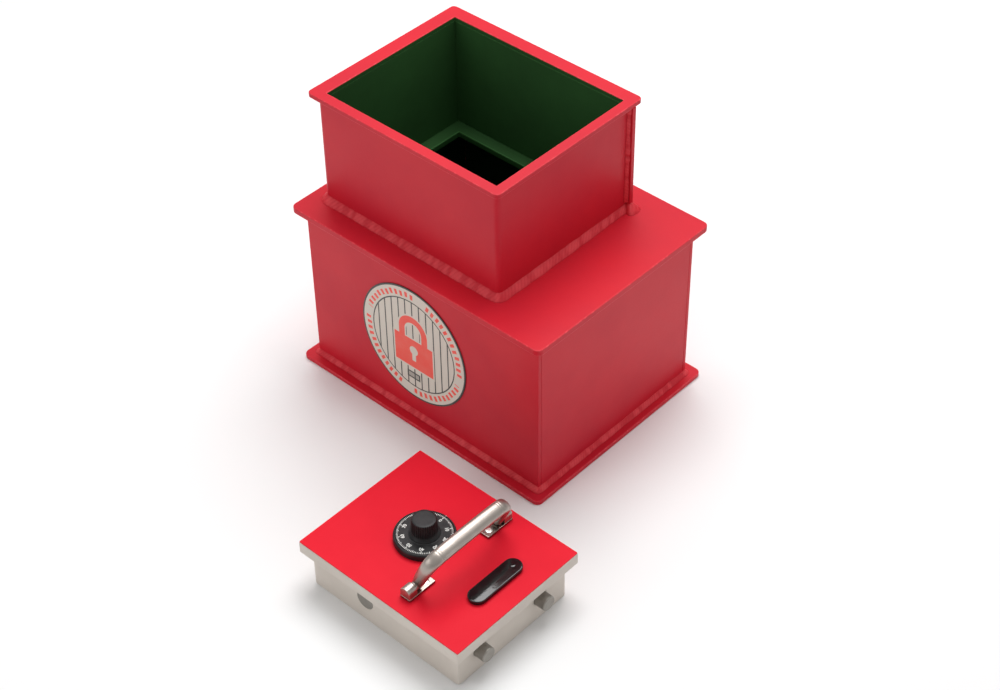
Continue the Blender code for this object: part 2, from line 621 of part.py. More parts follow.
# ---------------------------------------------------------------- the door's moving parts
def build_dial(door):
    dial = [(0, KNOB_HEIGHT), (0.0132, KNOB_HEIGHT), (0.0144, KNOB_HEIGHT - 0.0012), (0.0152, 0.004),
            (0.0176, 0.002), (0.0176, 0), (DIAL_RADIUS - 0.0006, 0), (DIAL_RADIUS, -0.0008),
            (DIAL_RADIUS, -DIAL_THICKNESS), (0, -DIAL_THICKNESS)]
    door.turned("combination_dial", dial, (*DIAL_AXIS, DIAL_FACE), "black_enamel", sides=48)
    cam_low = LOWEST_WHEEL - 0.0045
    door.rod("dial_spindle", SPINDLE_RADIUS, (*DIAL_AXIS, cam_low - 0.001),
             (*DIAL_AXIS, DIAL_FACE - DIAL_THICKNESS - GAP), "zinc_steel", sides=24)
    cam_radius, cam_bore = WHEEL_RADIUS - 0.001, SPINDLE_RADIUS + GAP
    cam = [(cam_radius, CAM_THICKNESS), (cam_radius, 0), (cam_bore, 0), (cam_bore, CAM_THICKNESS)]
    gated_wheel(door, "drive_cam", cam, cam_low, "zinc_steel")
    bore = POST_RADIUS + WHEEL_PLAY
    wheel = [(WHEEL_RADIUS, WHEEL_THICKNESS), (WHEEL_RADIUS, 0), (bore, 0), (bore, WHEEL_THICKNESS)]
    for number in range(WHEEL_COUNT):
        gated_wheel(door, f"wheel_{number + 1}", wheel, LOWEST_WHEEL + number * WHEEL_PITCH, "brass")


def gated_wheel(door, name, profile, low, paint):
    """A disc on the dial's axis with one square gate in its rim, facing the fence."""
    disc = door.turned(name, profile, (*DIAL_AXIS, low), paint)
    gate_y = DIAL_AXIS[1] + WHEEL_RADIUS - GATE_DEPTH
    combine(disc, door.box(f"{name}_gate", (DIAL_AXIS[0] - GATE_WIDTH / 2, gate_y, low - 0.001),
                           (DIAL_AXIS[0] + GATE_WIDTH / 2, gate_y + 0.01, low + 0.005)))


def build_lock_bolt(door):
    fence_y = DIAL_AXIS[1] + WHEEL_RADIUS + 0.0006
    bolt = door.box("lock_bolt", (LOCK_CASE_X[0], -LOCK_BOLT_HALF_WIDTH, LOCK_BOLT_Z[0]),
                    (-0.047, LOCK_BOLT_HALF_WIDTH, LOCK_BOLT_Z[1]), "brass")
    ear = door.box("lock_bolt_ear", (-0.059, 0.005, LOCK_BOLT_Z[0]), (-0.048, 0.0245, 0.0367))
    combine(bolt, ear, "UNION")
    lever = door.box("fence_lever", (-0.058, fence_y + 0.001, 0.0370), (-0.012, 0.0245, 0.0400),
                     "zinc_steel")
    fence = door.box("fence", (DIAL_AXIS[0] - 0.002, fence_y, 0.0350),
                     (DIAL_AXIS[0] + 0.002, fence_y + 0.003, 0.0445))
    combine(lever, fence, "UNION")
    hole = door.rod("lever_pivot_hole", 0.0019, (*LEVER_PIVOT, 0.031), (*LEVER_PIVOT, 0.0405),
                    sides=SMALL_ROUND)
    combine(lever, hole)
    combine(bolt, hole)
    screw = [(0, 0.0418), (0.0024, 0.0418), (0.0024, 0.0403), (0.0016, 0.0403),
             (0.0016, 0.0315), (0, 0.0315)]
    door.turned("lever_pivot", screw, (*LEVER_PIVOT, 0), "zinc_steel", sides=SMALL_ROUND)


def join_rack(door, carriage, low, high):
    """Join the rack tongue to the carriage: a bar with straight-sided teeth on its -Y edge."""
    pitch = math.pi * PINION_MODULE
    pitch_line = KEY_AXIS[1] + PINION_RADIUS
    root, tip = pitch_line + 1.25 * PINION_MODULE, pitch_line - PINION_MODULE
    bar = door.box("rack_bar", (CARRIAGE_X[1] - 0.002, root, low),
                   (KEY_AXIS[0] + 5.6 * pitch, root + 0.010, high))
    combine(carriage, bar, "UNION")
    for number in range(-2, 6):
        middle = KEY_AXIS[0] + number * pitch
        corners = [(middle - 0.30 * pitch, root + 0.0005), (middle - 0.12 * pitch, tip),
                   (middle + 0.12 * pitch, tip), (middle + 0.30 * pitch, root + 0.0005)]
        tooth = door.outline(f"rack_tooth_{number + 3}", corners, low + 0.0001, high - 0.0001)
        combine(carriage, tooth, "UNION")


def pinion_outline():
    """A small gear seen from above, with a space between teeth facing +Y."""
    step = 2 * math.pi / PINION_TEETH
    root, tip = PINION_RADIUS - 1.25 * PINION_MODULE, PINION_RADIUS + 0.9 * PINION_MODULE
    points = []
    for number in range(PINION_TEETH):
        middle = math.pi / 2 + (number + 0.5) * step
        for radius, share in ((root, -0.27), (PINION_RADIUS, -0.21), (tip, -0.09),
                              (tip, 0.09), (PINION_RADIUS, 0.21), (root, 0.27)):
            angle = middle + share * step
            points.append((KEY_AXIS[0] + radius * math.cos(angle), KEY_AXIS[1] + radius * math.sin(angle)))
    return points


def build_carriage(door):
    low, high = CARRIAGE_Z
    carriage = door.box("bolt_carriage", (CARRIAGE_X[0], -CARRIAGE_HALF_WIDTH, low),
                        (CARRIAGE_X[1], CARRIAGE_HALF_WIDTH, high), "zinc_steel")
    flange = door.box("carriage_flange", (FLANGE_X[0], -FLANGE_HALF_WIDTH, FLANGE_Z[0]),
                      (FLANGE_X[1], FLANGE_HALF_WIDTH, FLANGE_Z[1]))
    combine(carriage, flange, "UNION")
    join_rack(door, carriage, low + 0.0001, high - 0.0001)
    under, over = low - CUT_MARGIN, high + CUT_MARGIN
    window_half = LOCK_CASE_HALF_WIDTH + WINDOW_PLAY
    combine(carriage, door.box("carriage_window", (LOCK_CASE_X[0] - WINDOW_PLAY, -window_half, under),
                               (LOCK_CASE_X[1] + BOLT_THROW + WINDOW_PLAY, window_half, over)))
    relief_half = LOCK_BOLT_HALF_WIDTH + WINDOW_PLAY
    combine(carriage, door.box("lock_bolt_relief",
                               (LOCK_CASE_X[0] - LOCK_BOLT_THROW - WINDOW_PLAY, -relief_half, under),
                               (LOCK_CASE_X[0] - GAP, relief_half, over)))
    for number, (x, y) in enumerate(STUD_PLACES, 1):
        combine(carriage, door.slot(f"guide_slot_{number}", (x, y), (x + BOLT_THROW, y),
                                    STUD_RADIUS + SLOT_PLAY, under, over))
    for name, side in (("front", -1), ("rear", 1)):
        start = (END_BOLT_X, side * DRIVE_PIN_Y)
        end = (END_BOLT_X + BOLT_THROW, side * (DRIVE_PIN_Y + BOLT_THROW))
        combine(carriage, door.slot(f"{name}_drive_slot", start, end,
                                    DRIVE_PIN_RADIUS + SLOT_PLAY, under, over))
    for number, y in enumerate((-SIDE_BOLT_Y, SIDE_BOLT_Y), 1):
        door.rod(f"left_bolt_{number}", SIDE_BOLT_RADIUS, (FLANGE_X[0] - GAP, y, BOLT_HEIGHT),
                 (-CASING_HALF[0], y, BOLT_HEIGHT), "bolt_steel")


def build_end_bolts(door):
    for name, side in (("front_bolt", -1), ("rear_bolt", 1)):
        bolt = door.rod(name, END_BOLT_RADIUS, (END_BOLT_X, side * END_BOLT_BACK, BOLT_HEIGHT),
                        (END_BOLT_X, side * CASING_HALF[1], BOLT_HEIGHT), "bolt_steel")
        inner, outer = sorted((side * (DRIVE_PIN_Y - 0.004), side * (END_BOLT_BACK + TANG_HALF_WIDTH)))
        tang = door.box(f"{name}_tang", (END_BOLT_X - TANG_HALF_WIDTH, inner, TANG_Z[0]),
                        (END_BOLT_X + TANG_HALF_WIDTH, outer, TANG_Z[1]))
        combine(bolt, tang, "UNION")
        pin = door.rod(f"{name}_pin", DRIVE_PIN_RADIUS,
                       (END_BOLT_X, side * DRIVE_PIN_Y, TANG_Z[1] - 0.0017),
                       (END_BOLT_X, side * DRIVE_PIN_Y, CARRIAGE_Z[1] + 0.0014), sides=20)
        combine(bolt, pin, "UNION")


def build_key_plug(door):
    top = ON_FACING + KEYHOLE_PLATE_THICKNESS - 0.0002
    spindle, shoulder, foot = PLUG_SPINDLE_RADIUS, KEY_CASE_FOOT + 0.001, CARRIAGE_Z[0] - 0.0008
    profile = [(0, top), (PLUG_RADIUS, top), (PLUG_RADIUS, shoulder), (spindle, shoulder),
               (spindle, foot), (0, foot)]
    plug = door.turned("key_plug", profile, (*KEY_AXIS, 0), "brass")
    half_width, half_length = KEYWAY[0] / 2, KEYWAY[1] / 2
    combine(plug, door.box("keyway", (KEY_AXIS[0] - half_width, KEY_AXIS[1] - half_length, top - KEYWAY[2]),
                           (KEY_AXIS[0] + half_width, KEY_AXIS[1] + half_length, top + PAST)))
    low, high = CARRIAGE_Z[0] + 0.0001, CARRIAGE_Z[1] + 0.0001
    pinion = door.outline("key_pinion", pinion_outline(), low, high, "zinc_steel", origin=KEY_AXIS)
    combine(pinion, door.rod("pinion_bore", spindle + GAP, (*KEY_AXIS, low - PAST),
                             (*KEY_AXIS, high + PAST), sides=24))


def build_swing_cover(door):
    half = (COVER_SIZE[1] - COVER_SIZE[0]) / 2
    low = ON_FACING + KEYHOLE_PLATE_THICKNESS + GAP
    x, y = COVER_PIVOT
    cover = door.slot("keyhole_cover", (x, y - 2 * half), (x, y), COVER_SIZE[0] / 2, low,
                      low + SWING_COVER_THICKNESS, "black_enamel")
    chamfer = cover.modifiers.new("chamfer", "BEVEL")
    chamfer.limit_method = "ANGLE"
    chamfer.angle_limit = math.radians(60)
    chamfer.width = 0.0008
    chamfer.segments = 2
    combine(cover, door.rod("cover_rivet_hole", COVER_RIVET_RADIUS + 0.0004, (x, y, low - PAST),
                            (x, y, low + PAST), sides=20))


def handle_path():
    """Points of the bow as (along the door, away from the pivot axis, thickness factor)."""
    bend = ARM_LENGTH - 0.001
    side = [(LEG_MIDDLE, 0.0, 0.72), (LEG_MIDDLE, 0.018, 0.86), (LEG_MIDDLE - 0.0015, 0.036, 0.94),
            (LEG_MIDDLE - 0.006, bend - 0.0045, 0.98), (LEG_MIDDLE - 0.0135, bend, 1.0),
            (LEG_MIDDLE - 0.0357, ARM_LENGTH + 0.0006, 1.0)]
    middle = [(0.0, ARM_LENGTH + 0.0012, 1.0)]
    return [(-y, h, f) for y, h, f in side] + middle + [(y, h, f) for y, h, f in reversed(side)]


def build_pull_handle(door):
    """A tube bent in an upright plane, widened to an oval section, then leaned over on its pivot."""
    curve = bpy.data.curves.new("pull_handle", "CURVE")
    curve.dimensions = "3D"
    curve.bevel_depth = GRIP_THICKNESS / 2
    curve.bevel_resolution = 3
    curve.use_fill_caps = True
    points = handle_path()
    spline = curve.splines.new("POLY")
    spline.points.add(len(points) - 1)
    for point, (y, away, factor) in zip(spline.points, points):
        point.co = (0, y, away, 1)
        point.radius = factor
    handle = door.from_curve("pull_handle", curve, (HANDLE_X, HANDLE_Y, PIVOT_Z), "nickel")
    handle.data.transform(Matrix.Diagonal((GRIP_WIDTH / GRIP_THICKNESS, 1, 1, 1)))
    handle.data.transform(Matrix.Rotation(HANDLE_LEAN, 4, "Y"))
    smooth_round(handle.data)
    for name, side in (("front", -1), ("rear", 1)):
        inner, outer = LEG_MIDDLE - 0.0022, FOOT_END - KNUCKLE_LENGTH - GAP
        ends = sorted((HANDLE_Y + side * inner, HANDLE_Y + side * outer))
        boss = door.rod(f"handle_boss_{name}", BOSS_RADIUS, (HANDLE_X, ends[0], PIVOT_Z),
                        (HANDLE_X, ends[1], PIVOT_Z), sides=24)
        combine(handle, boss, "UNION")
    for name, side in (("front", -1), ("rear", 1)):
        ends = sorted((HANDLE_Y + side * (PIN_INNER - 0.0008), HANDLE_Y + side * FOOT_END))
        bore = door.rod(f"handle_bore_{name}", PIVOT_PIN_RADIUS + GAP, (HANDLE_X, ends[0], PIVOT_Z),
                        (HANDLE_X, ends[1], PIVOT_Z), sides=20)
        combine(handle, bore)


def main():
    clear_scene()
    pieces = make_collection("underfloor_safe")
    cutters = make_collection("cutters")
    materials = make_materials()
    frames = []
    for name, place in (("safe_frame", (0, 0, 0)), ("door_frame", (*DOOR_CENTRE, 0))):
        frame = bpy.data.objects.new(name, None)
        frame.location = place
        pieces.objects.link(frame)
        frames.append(frame)
    safe = Builder(pieces, cutters, materials, frames[0])
    door = Builder(pieces, cutters, materials, frames[1])
    for build in (build_lower_box, build_neck, build_label):
        build(safe)
    for build in (build_door_shell, build_fixed_bolts, build_handle_feet, build_lock_case, build_dial_ring,
                  build_key_lock_case, build_guide_studs, build_dial, build_lock_bolt, build_carriage,
                  build_end_bolts, build_key_plug, build_swing_cover, build_pull_handle):
        build(door)


main()
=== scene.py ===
"""Looks of an under-floor safe: a painted, welded steel box with a necked mouth, and its lift-out door.

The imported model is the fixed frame.  Each sub-assembly is a class that holds its own sizes, works its
surfaces out as numpy grids in the frame's metres, and dresses them with a finish.
"""

import logging
import math
from dataclasses import dataclass
from enum import Enum

import bmesh
import bpy
import numpy as np
from mathutils import Matrix, Vector


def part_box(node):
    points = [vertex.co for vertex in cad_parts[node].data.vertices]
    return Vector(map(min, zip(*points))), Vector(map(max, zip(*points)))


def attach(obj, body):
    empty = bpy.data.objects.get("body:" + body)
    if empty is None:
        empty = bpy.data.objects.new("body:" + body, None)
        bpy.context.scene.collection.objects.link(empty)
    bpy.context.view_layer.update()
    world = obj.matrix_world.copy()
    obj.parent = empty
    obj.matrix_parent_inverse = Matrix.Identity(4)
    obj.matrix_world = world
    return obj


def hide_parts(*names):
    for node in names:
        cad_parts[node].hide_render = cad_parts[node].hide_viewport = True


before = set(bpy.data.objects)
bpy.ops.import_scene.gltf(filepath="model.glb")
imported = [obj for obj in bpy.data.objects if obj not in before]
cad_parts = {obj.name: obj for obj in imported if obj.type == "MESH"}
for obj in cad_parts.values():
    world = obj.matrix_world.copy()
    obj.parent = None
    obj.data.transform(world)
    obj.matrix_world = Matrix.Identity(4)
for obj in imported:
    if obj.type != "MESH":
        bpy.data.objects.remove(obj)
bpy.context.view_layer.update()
LOG = logging.getLogger("underfloor_safe")

Colour = tuple[float, float, float]
SUPPORT = 0.0004          # a flat strip beside every rounded edge, which keeps the big faces flat in shading
SMOOTH_BELOW = math.radians(38)
WELD = 0.000002           # points nearer than this are one point
JOINT = 0.00028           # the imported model's gap between touching plates, closed where it would show
TURN = 2 * math.pi


# ---------------------------------------------------------------- shader expressions
class Socket:
    """One output of a shader node, used in an expression as if it were a number."""

    def __init__(self, shader: "Shader", output: bpy.types.NodeSocket) -> None:
        """Keep the shader that new nodes go into, and the output that this stands for."""
        self.shader = shader
        self.output = output

    def maths(self, operation: str, *others: "Socket | float") -> "Socket":
        """Pass this value, and any others after it, through one Math node."""
        return self.shader.maths(operation, self, *others)

    def __add__(self, other: "Socket | float") -> "Socket":
        """The sum."""
        return self.maths("ADD", other)

    def __mul__(self, other: "Socket | float") -> "Socket":
        """The product."""
        return self.maths("MULTIPLY", other)

    def __sub__(self, other: "Socket | float") -> "Socket":
        """The difference."""
        return self.maths("SUBTRACT", other)

    def __rsub__(self, other: float) -> "Socket":
        """The difference, with this value taken away."""
        return self.shader.maths("SUBTRACT", other, self)

    def __truediv__(self, other: "Socket | float") -> "Socket":
        """The quotient."""
        return self.maths("DIVIDE", other)

    def __pow__(self, power: float) -> "Socket":
        """The power."""
        return self.maths("POWER", power)

    def __lt__(self, other: "Socket | float") -> "Socket":
        """1 where this value is the smaller one, else 0."""
        return self.maths("LESS_THAN", other)

    def __gt__(self, other: "Socket | float") -> "Socket":
        """1 where this value is the larger one, else 0."""
        return self.maths("GREATER_THAN", other)

    def __abs__(self) -> "Socket":
        """The size without the sign."""
        return self.maths("ABSOLUTE")

    __radd__ = __add__
    __rmul__ = __mul__

    def either(self, other: "Socket | float") -> "Socket":
        """The larger of two masks."""
        return self.maths("MAXIMUM", other)

    def between(self, low: float, high: float) -> "Socket":
        """1 where the value lies between two bounds, else 0."""
        return (self > low) * (self < high)

    def ramp(self, low: float, high: float) -> "Socket":
        """0 up to low and 1 from high on, with a straight rise between them.

        Args:
            low: the value that gives 0.
            high: the value that gives 1.

        Returns:
            The value, from 0 to 1.
        """
        settings = {"clamp": True}
        inputs = {"Value": self, "From Min": low, "From Max": high}
        return self.shader.node("MapRange", settings, inputs)


class Shader:
    """A material's or world's node tree, filled in by expressions and by one method that adds any node."""

    def __init__(self, name: str, owner: bpy.types.World | None = None) -> None:
        """Start an empty tree for a new material, or for a world, with its coordinates ready.

        Args:
            name: the material's name.
            owner: the world to fill in, or None for a new material.
        """
        self.material = owner or bpy.data.materials.new(name)
        self.material.use_nodes = True
        self.tree = self.material.node_tree
        self.tree.nodes.clear()
        self.place = self.node("TexCoord", output="Generated" if owner else "Object")

    def node(self, kind: str, settings: dict | None = None, inputs: dict | None = None,
             output: int | str = 0) -> Socket | None:
        """Add one node.

        Args:
            kind: the node's type, without its ShaderNode prefix.
            settings: properties, set before the inputs; stops is a colour ramp's list of (place, colour).
            inputs: values or sockets by the input's name or number.
            output: the output to return.

        Returns:
            The output as a Socket, or None for a node without outputs.
        """
        made = self.tree.nodes.new("ShaderNode" + kind)
        for key, value in (settings or {}).items():
            setattr(made, key, value)
        for key, value in (inputs or {}).items():
            if isinstance(value, Socket):
                self.tree.links.new(value.output, made.inputs[key])
            elif value is not None:
                made.inputs[key].default_value = value
        return Socket(self, made.outputs[output]) if made.outputs else None

    def maths(self, operation: str, *values: Socket | float) -> Socket:
        """Pass values through one Math node."""
        return self.node("Math", {"operation": operation}, dict(enumerate(values)))

    def axis(self, letter: str, centre: float = 0.0) -> Socket:
        """One coordinate of the point, measured from a centre."""
        return self.node("SeparateXYZ", None, {0: self.place}, letter) - centre

    def noise(self, scale: float, detail: float = 3.0, roughness: float = 0.55,
              stretch: Colour = (1.0, 1.0, 1.0)) -> Socket:
        """Smooth noise from 0 to 1, with its cells drawn out where stretch is below 1.

        Args:
            scale: cells to the metre.
            detail: how many finer layers it has.
            roughness: the finer layers' strength.
            stretch: factor on each axis.

        Returns:
            The value.
        """
        place = self.place
        if stretch != (1.0, 1.0, 1.0):
            place = self.node("Mapping", None, {"Vector": place, "Scale": stretch})
        inputs = {"Vector": place, "Scale": scale, "Detail": detail, "Roughness": roughness}
        return self.node("TexNoise", None, inputs)

    def mix(self, share: Socket | float, first: "Socket | Colour", second: "Socket | Colour") -> Socket:
        """Blend two colours: the first where share is 0 and the second where it is 1."""
        ends = [end if isinstance(end, Socket) else (*end, 1.0) for end in (first, second)]
        return self.node("Mix", {"data_type": "RGBA"}, {0: share, 6: ends[0], 7: ends[1]}, 2)

    def bump(self, height: Socket, depth: float) -> Socket:
        """A normal that leans as if the surface rose by depth where height is 1."""
        return self.node("Bump", None, {"Strength": 1.0, "Distance": depth, "Height": height})

    def wear_and_highlight(self) -> Socket:
        """How rubbed the surface is, from 0 to 1, which each piece's mesh carries; on weld beads it is a
        painted highlight.
        """
        return self.node("Attribute", {"attribute_name": "wear_and_highlight"}, None, "Fac")

    def finish(self, **inputs: "Socket | Colour | float") -> bpy.types.Material:
        """Close the tree with a Principled shader; underscores in the names stand for spaces."""
        named = {key.replace("_", " "): value for key, value in inputs.items()}
        colour = named.get("Base Color")
        if isinstance(colour, tuple):
            named["Base Color"] = (*colour, 1.0)
        shader = self.node("BsdfPrincipled", None, named)
        self.node("OutputMaterial", None, {"Surface": shader})
        return self.material


# ---------------------------------------------------------------- finishes
@dataclass(frozen=True)
class Room:
    """A box in the frame, inside which a second coat shows."""

    low: Colour
    high: Colour

    def mask(self, shader: Shader) -> Socket:
        """1 inside the box, else 0."""
        inside = [shader.axis(letter).between(low, high)
                  for letter, low, high in zip("XYZ", self.low, self.high)]
        return inside[0] * inside[1] * inside[2]


@dataclass(frozen=True)
class Paint:
    """Sprayed paint on steel: slow patches of shade, orange peel, and edges rubbed lighter."""

    colour: Colour
    shade: Colour
    rubbed: Colour
    roughness: float = 0.36
    patch: float = 7.0
    peel: float = 0.00006
    gloss: float = 0.22
    rooms: tuple[tuple[Room, Colour], ...] = ()

    def material(self, name: str) -> bpy.types.Material:
        """Build the material; each room's colour covers the outer one inside that room.

        Args:
            name: the material's name.

        Returns:
            The material.
        """
        shader = Shader(name)
        patches = shader.noise(self.patch, 4.0, 0.6).ramp(0.32, 0.70)
        grain = shader.noise(420.0, 2.0)
        colour = shader.mix(patches * 0.85, self.colour, self.shade)
        wear_and_highlight = shader.wear_and_highlight()
        scuff = shader.noise(160.0, 4.0, 0.7).ramp(0.50, 0.66)
        colour = shader.mix(wear_and_highlight * (scuff * 0.55 + 0.20), colour, self.rubbed)
        rough = patches * 0.08 + grain * 0.06 + (self.roughness - 0.06)
        for room, inner in self.rooms:
            mask = room.mask(shader)
            under = shader.mix(patches, inner, tuple(0.70 * part for part in inner))
            under = shader.mix(wear_and_highlight * 0.5, under, tuple(1.9 * part for part in inner))
            colour = shader.mix(mask, colour, under)
            rough = rough + mask * 0.16
        height = shader.noise(330.0, 2.0, 0.4) + shader.noise(28.0, 2.0) * 1.6
        return shader.finish(Base_Color=colour, Roughness=rough, Normal=shader.bump(height, self.peel),
                             Specular_IOR_Level=self.gloss)


@dataclass(frozen=True)
class WeldPaint:
    """Paint over a weld bead: chalky, with a painted highlight on the crests that leaves the ripples darker.
    """

    colour: Colour
    crest_highlight: Colour
    roughness: float = 0.45
    gloss: float = 0.25

    def material(self, name: str) -> bpy.types.Material:
        """Build the material from the painted crest highlight that a bead's surface carries.

        Args:
            name: the material's name.

        Returns:
            The material.
        """
        shader = Shader(name)
        # painted highlight: the crests are mixed towards the lighter crest colour
        crest_highlight = shader.wear_and_highlight()
        speckle = shader.noise(240.0, 4.0, 0.7)
        share = (crest_highlight * 0.75 + speckle * 0.55 - 0.25).ramp(0.0, 1.0)
        colour = shader.mix(share, self.colour, self.crest_highlight)
        rough = speckle * 0.15 + (self.roughness - 0.07)
        return shader.finish(Base_Color=colour, Roughness=rough, Normal=shader.bump(speckle, 0.0006),
                             Specular_IOR_Level=self.gloss)


class Grain(Enum):
    """Which way a metal was brushed or turned; the value is the noise's stretch."""

    ALONG_Y = (1.0, 0.04, 1.0)
    CAST = (1.0, 1.0, 1.0)


@dataclass(frozen=True)
class Metal:
    """Bare or plated metal with fine scratches along its grain and a little tarnish."""

    colour: Colour
    tarnish: Colour
    roughness: float = 0.30
    metallic: float = 1.0
    grain: Grain = Grain.CAST

    def material(self, name: str) -> bpy.types.Material:
        """Build the material.

        Args:
            name: the material's name.

        Returns:
            The material.
        """
        shader = Shader(name)
        scratch = shader.noise(900.0, 3.0, 0.6, self.grain.value)
        cloud = shader.noise(45.0, 4.0, 0.6).ramp(0.35, 0.75)
        wear_and_highlight = shader.wear_and_highlight()
        colour = shader.mix(cloud * 0.7, self.colour, self.tarnish)
        bright = tuple(min(1.0, 1.25 * part) for part in self.colour)
        colour = shader.mix(wear_and_highlight * 0.6, colour, bright)
        rough = scratch * 0.16 + cloud * 0.08 + (self.roughness - 0.11)
        return shader.finish(Base_Color=colour, Roughness=rough, Metallic=self.metallic,
                             Normal=shader.bump(scratch, 0.00003))


@dataclass(frozen=True)
class Enamel:
    """Enamel, printing ink or moulded plastic, with smears in its gloss and specks of dust."""

    colour: Colour
    dusty: Colour
    roughness: float = 0.2
    smear: float = 0.15
    gloss: float = 0.5

    def material(self, name: str) -> bpy.types.Material:
        """Build the material.

        Args:
            name: the material's name.

        Returns:
            The material.
        """
        shader = Shader(name)
        smears = shader.noise(60.0, 4.0, 0.65).ramp(0.40, 0.72)
        dust = shader.noise(700.0, 2.0, 0.5).ramp(0.55, 0.80)
        wear_and_highlight = shader.wear_and_highlight()
        colour = shader.mix(smears * 0.5 + dust * 0.3 + wear_and_highlight * 0.25, self.colour, self.dusty)
        rough = smears * self.smear + self.roughness
        return shader.finish(Base_Color=colour, Roughness=rough, Specular_IOR_Level=self.gloss,
                             Normal=shader.bump(shader.noise(500.0, 2.0), 0.00002))


@dataclass(frozen=True)
class LabelPrint:
    """The round label's print: dark outlines, a ring of plain marks, upright stripes and a padlock.

    Heights and places are measured from the label's middle, and shares are of its radius.
    """

    centre: tuple[float, float]
    radius: float
    paper: Colour = (0.68, 0.62, 0.54)
    ink: Colour = (0.018, 0.020, 0.018)
    red: Colour = (0.92, 0.070, 0.042)
    field_share: float = 0.775
    border_share: float = 0.972
    mark_shares: tuple[float, float] = (0.822, 0.910)
    line: float = 0.0016
    marks: int = 54
    stripe_pitch: float = 0.0112
    stripe_width: float = 0.0018
    lock_half: float = 0.0310
    lock_ends: tuple[float, float] = (-0.0360, 0.0080)
    bow_height: float = 0.0200
    bow_radii: tuple[float, float] = (0.0135, 0.0230)
    hole_height: float = -0.0090
    hole_radius: float = 0.0066
    slit_half: float = 0.0030
    slit_low: float = -0.0250
    halo: float = 0.0022
    plate_middle: tuple[float, float] = (-0.0020, -0.04925)
    plate_half: tuple[float, float] = (0.0105, 0.00525)
    plate_line: float = 0.0020

    def material(self, name: str) -> bpy.types.Material:
        """Build the print from the distance and angle round the label's middle.

        Args:
            name: the material's name.

        Returns:
            The material.
        """
        shader = Shader(name)
        across = shader.axis("X", self.centre[0])
        height = shader.axis("Z", self.centre[1])
        far = (across * across + height * height) ** 0.5
        field = self.radius * self.field_share
        # 50 whole pitches keep the count of stripes above 0
        stripe = abs((across / self.stripe_pitch + 50.5).maths("FRACT") - 0.5)
        stripes = (stripe < self.stripe_width / self.stripe_pitch / 2) * (far < field)
        border = far > self.radius * self.border_share
        outlines = border.either(far.between(field, field + self.line))
        around = height.maths("ARCTAN2", across) / TURN + 1.0
        mark = (around * self.marks).maths("FRACT").between(0.22, 0.74)
        group = (around * 4.0 + 0.125).maths("FRACT").between(0.07, 0.93)
        tall = (around * self.marks / 3.0).maths("FRACT") * self.line
        inner, outer = (self.radius * share for share in self.mark_shares)
        marks = mark * group * (far - tall).between(inner, outer)
        paint = shader.mix(stripes.either(outlines), self.paper, self.ink)
        paint = shader.mix(self.padlock(across, height, self.halo), paint, self.paper)
        lock = self.padlock(across, height) * (1.0 - self.keyhole(across, height))
        paint = shader.mix(marks.either(lock), paint, self.red)
        paint = shader.mix(self.plate(across, height), paint, self.ink)
        worn = shader.noise(90.0, 4.0, 0.6).ramp(0.35, 0.8)
        paint = shader.mix(worn * 0.10, paint, self.paper)
        return shader.finish(Base_Color=paint, Roughness=worn * 0.1 + 0.34,
                             Normal=shader.bump(shader.noise(180.0, 2.0), 0.00003))

    def padlock(self, across: Socket, height: Socket, grow: float = 0.0) -> Socket:
        """A padlock, grown by a margin: a square body and a half-round bow on two legs above it.

        Args:
            across: distance to the right of the label's middle.
            height: distance above it.
            grow: margin added all round.

        Returns:
            The mask.
        """
        low, high = self.lock_ends
        body = (abs(across) < self.lock_half + grow) * height.between(low - grow, high + grow)
        inner, outer = self.bow_radii[0] - grow, self.bow_radii[1] + grow
        rise = height - self.bow_height
        arch = ((across * across + rise * rise) ** 0.5).between(inner, outer) * (height > self.bow_height)
        legs = abs(across).between(inner, outer) * height.between(0.0, self.bow_height + 0.0001)
        return body.either(arch).either(legs)

    def keyhole(self, across: Socket, height: Socket) -> Socket:
        """The padlock's keyhole: a round hole with a slit below it.

        Args:
            across: distance to the right of the label's middle.
            height: distance above it.

        Returns:
            The mask.
        """
        rise = height - self.hole_height
        hole = (across * across + rise * rise) ** 0.5 < self.hole_radius
        slit = (abs(across) < self.slit_half) * height.between(self.slit_low, self.hole_height)
        return hole.either(slit)

    def plate(self, across: Socket, height: Socket) -> Socket:
        """A small dark frame low on the label, with a lighter bar inside.

        Args:
            across: distance to the right of the label's middle.
            height: distance above it.

        Returns:
            The mask.
        """
        wide, tall = abs(across - self.plate_middle[0]), abs(height - self.plate_middle[1])
        half_x, half_z = self.plate_half
        outer = (wide < half_x) * (tall < half_z)
        bar = (wide < half_x - self.plate_line) * (tall < half_z - self.plate_line)
        return outer * (1.0 - bar * 0.55)


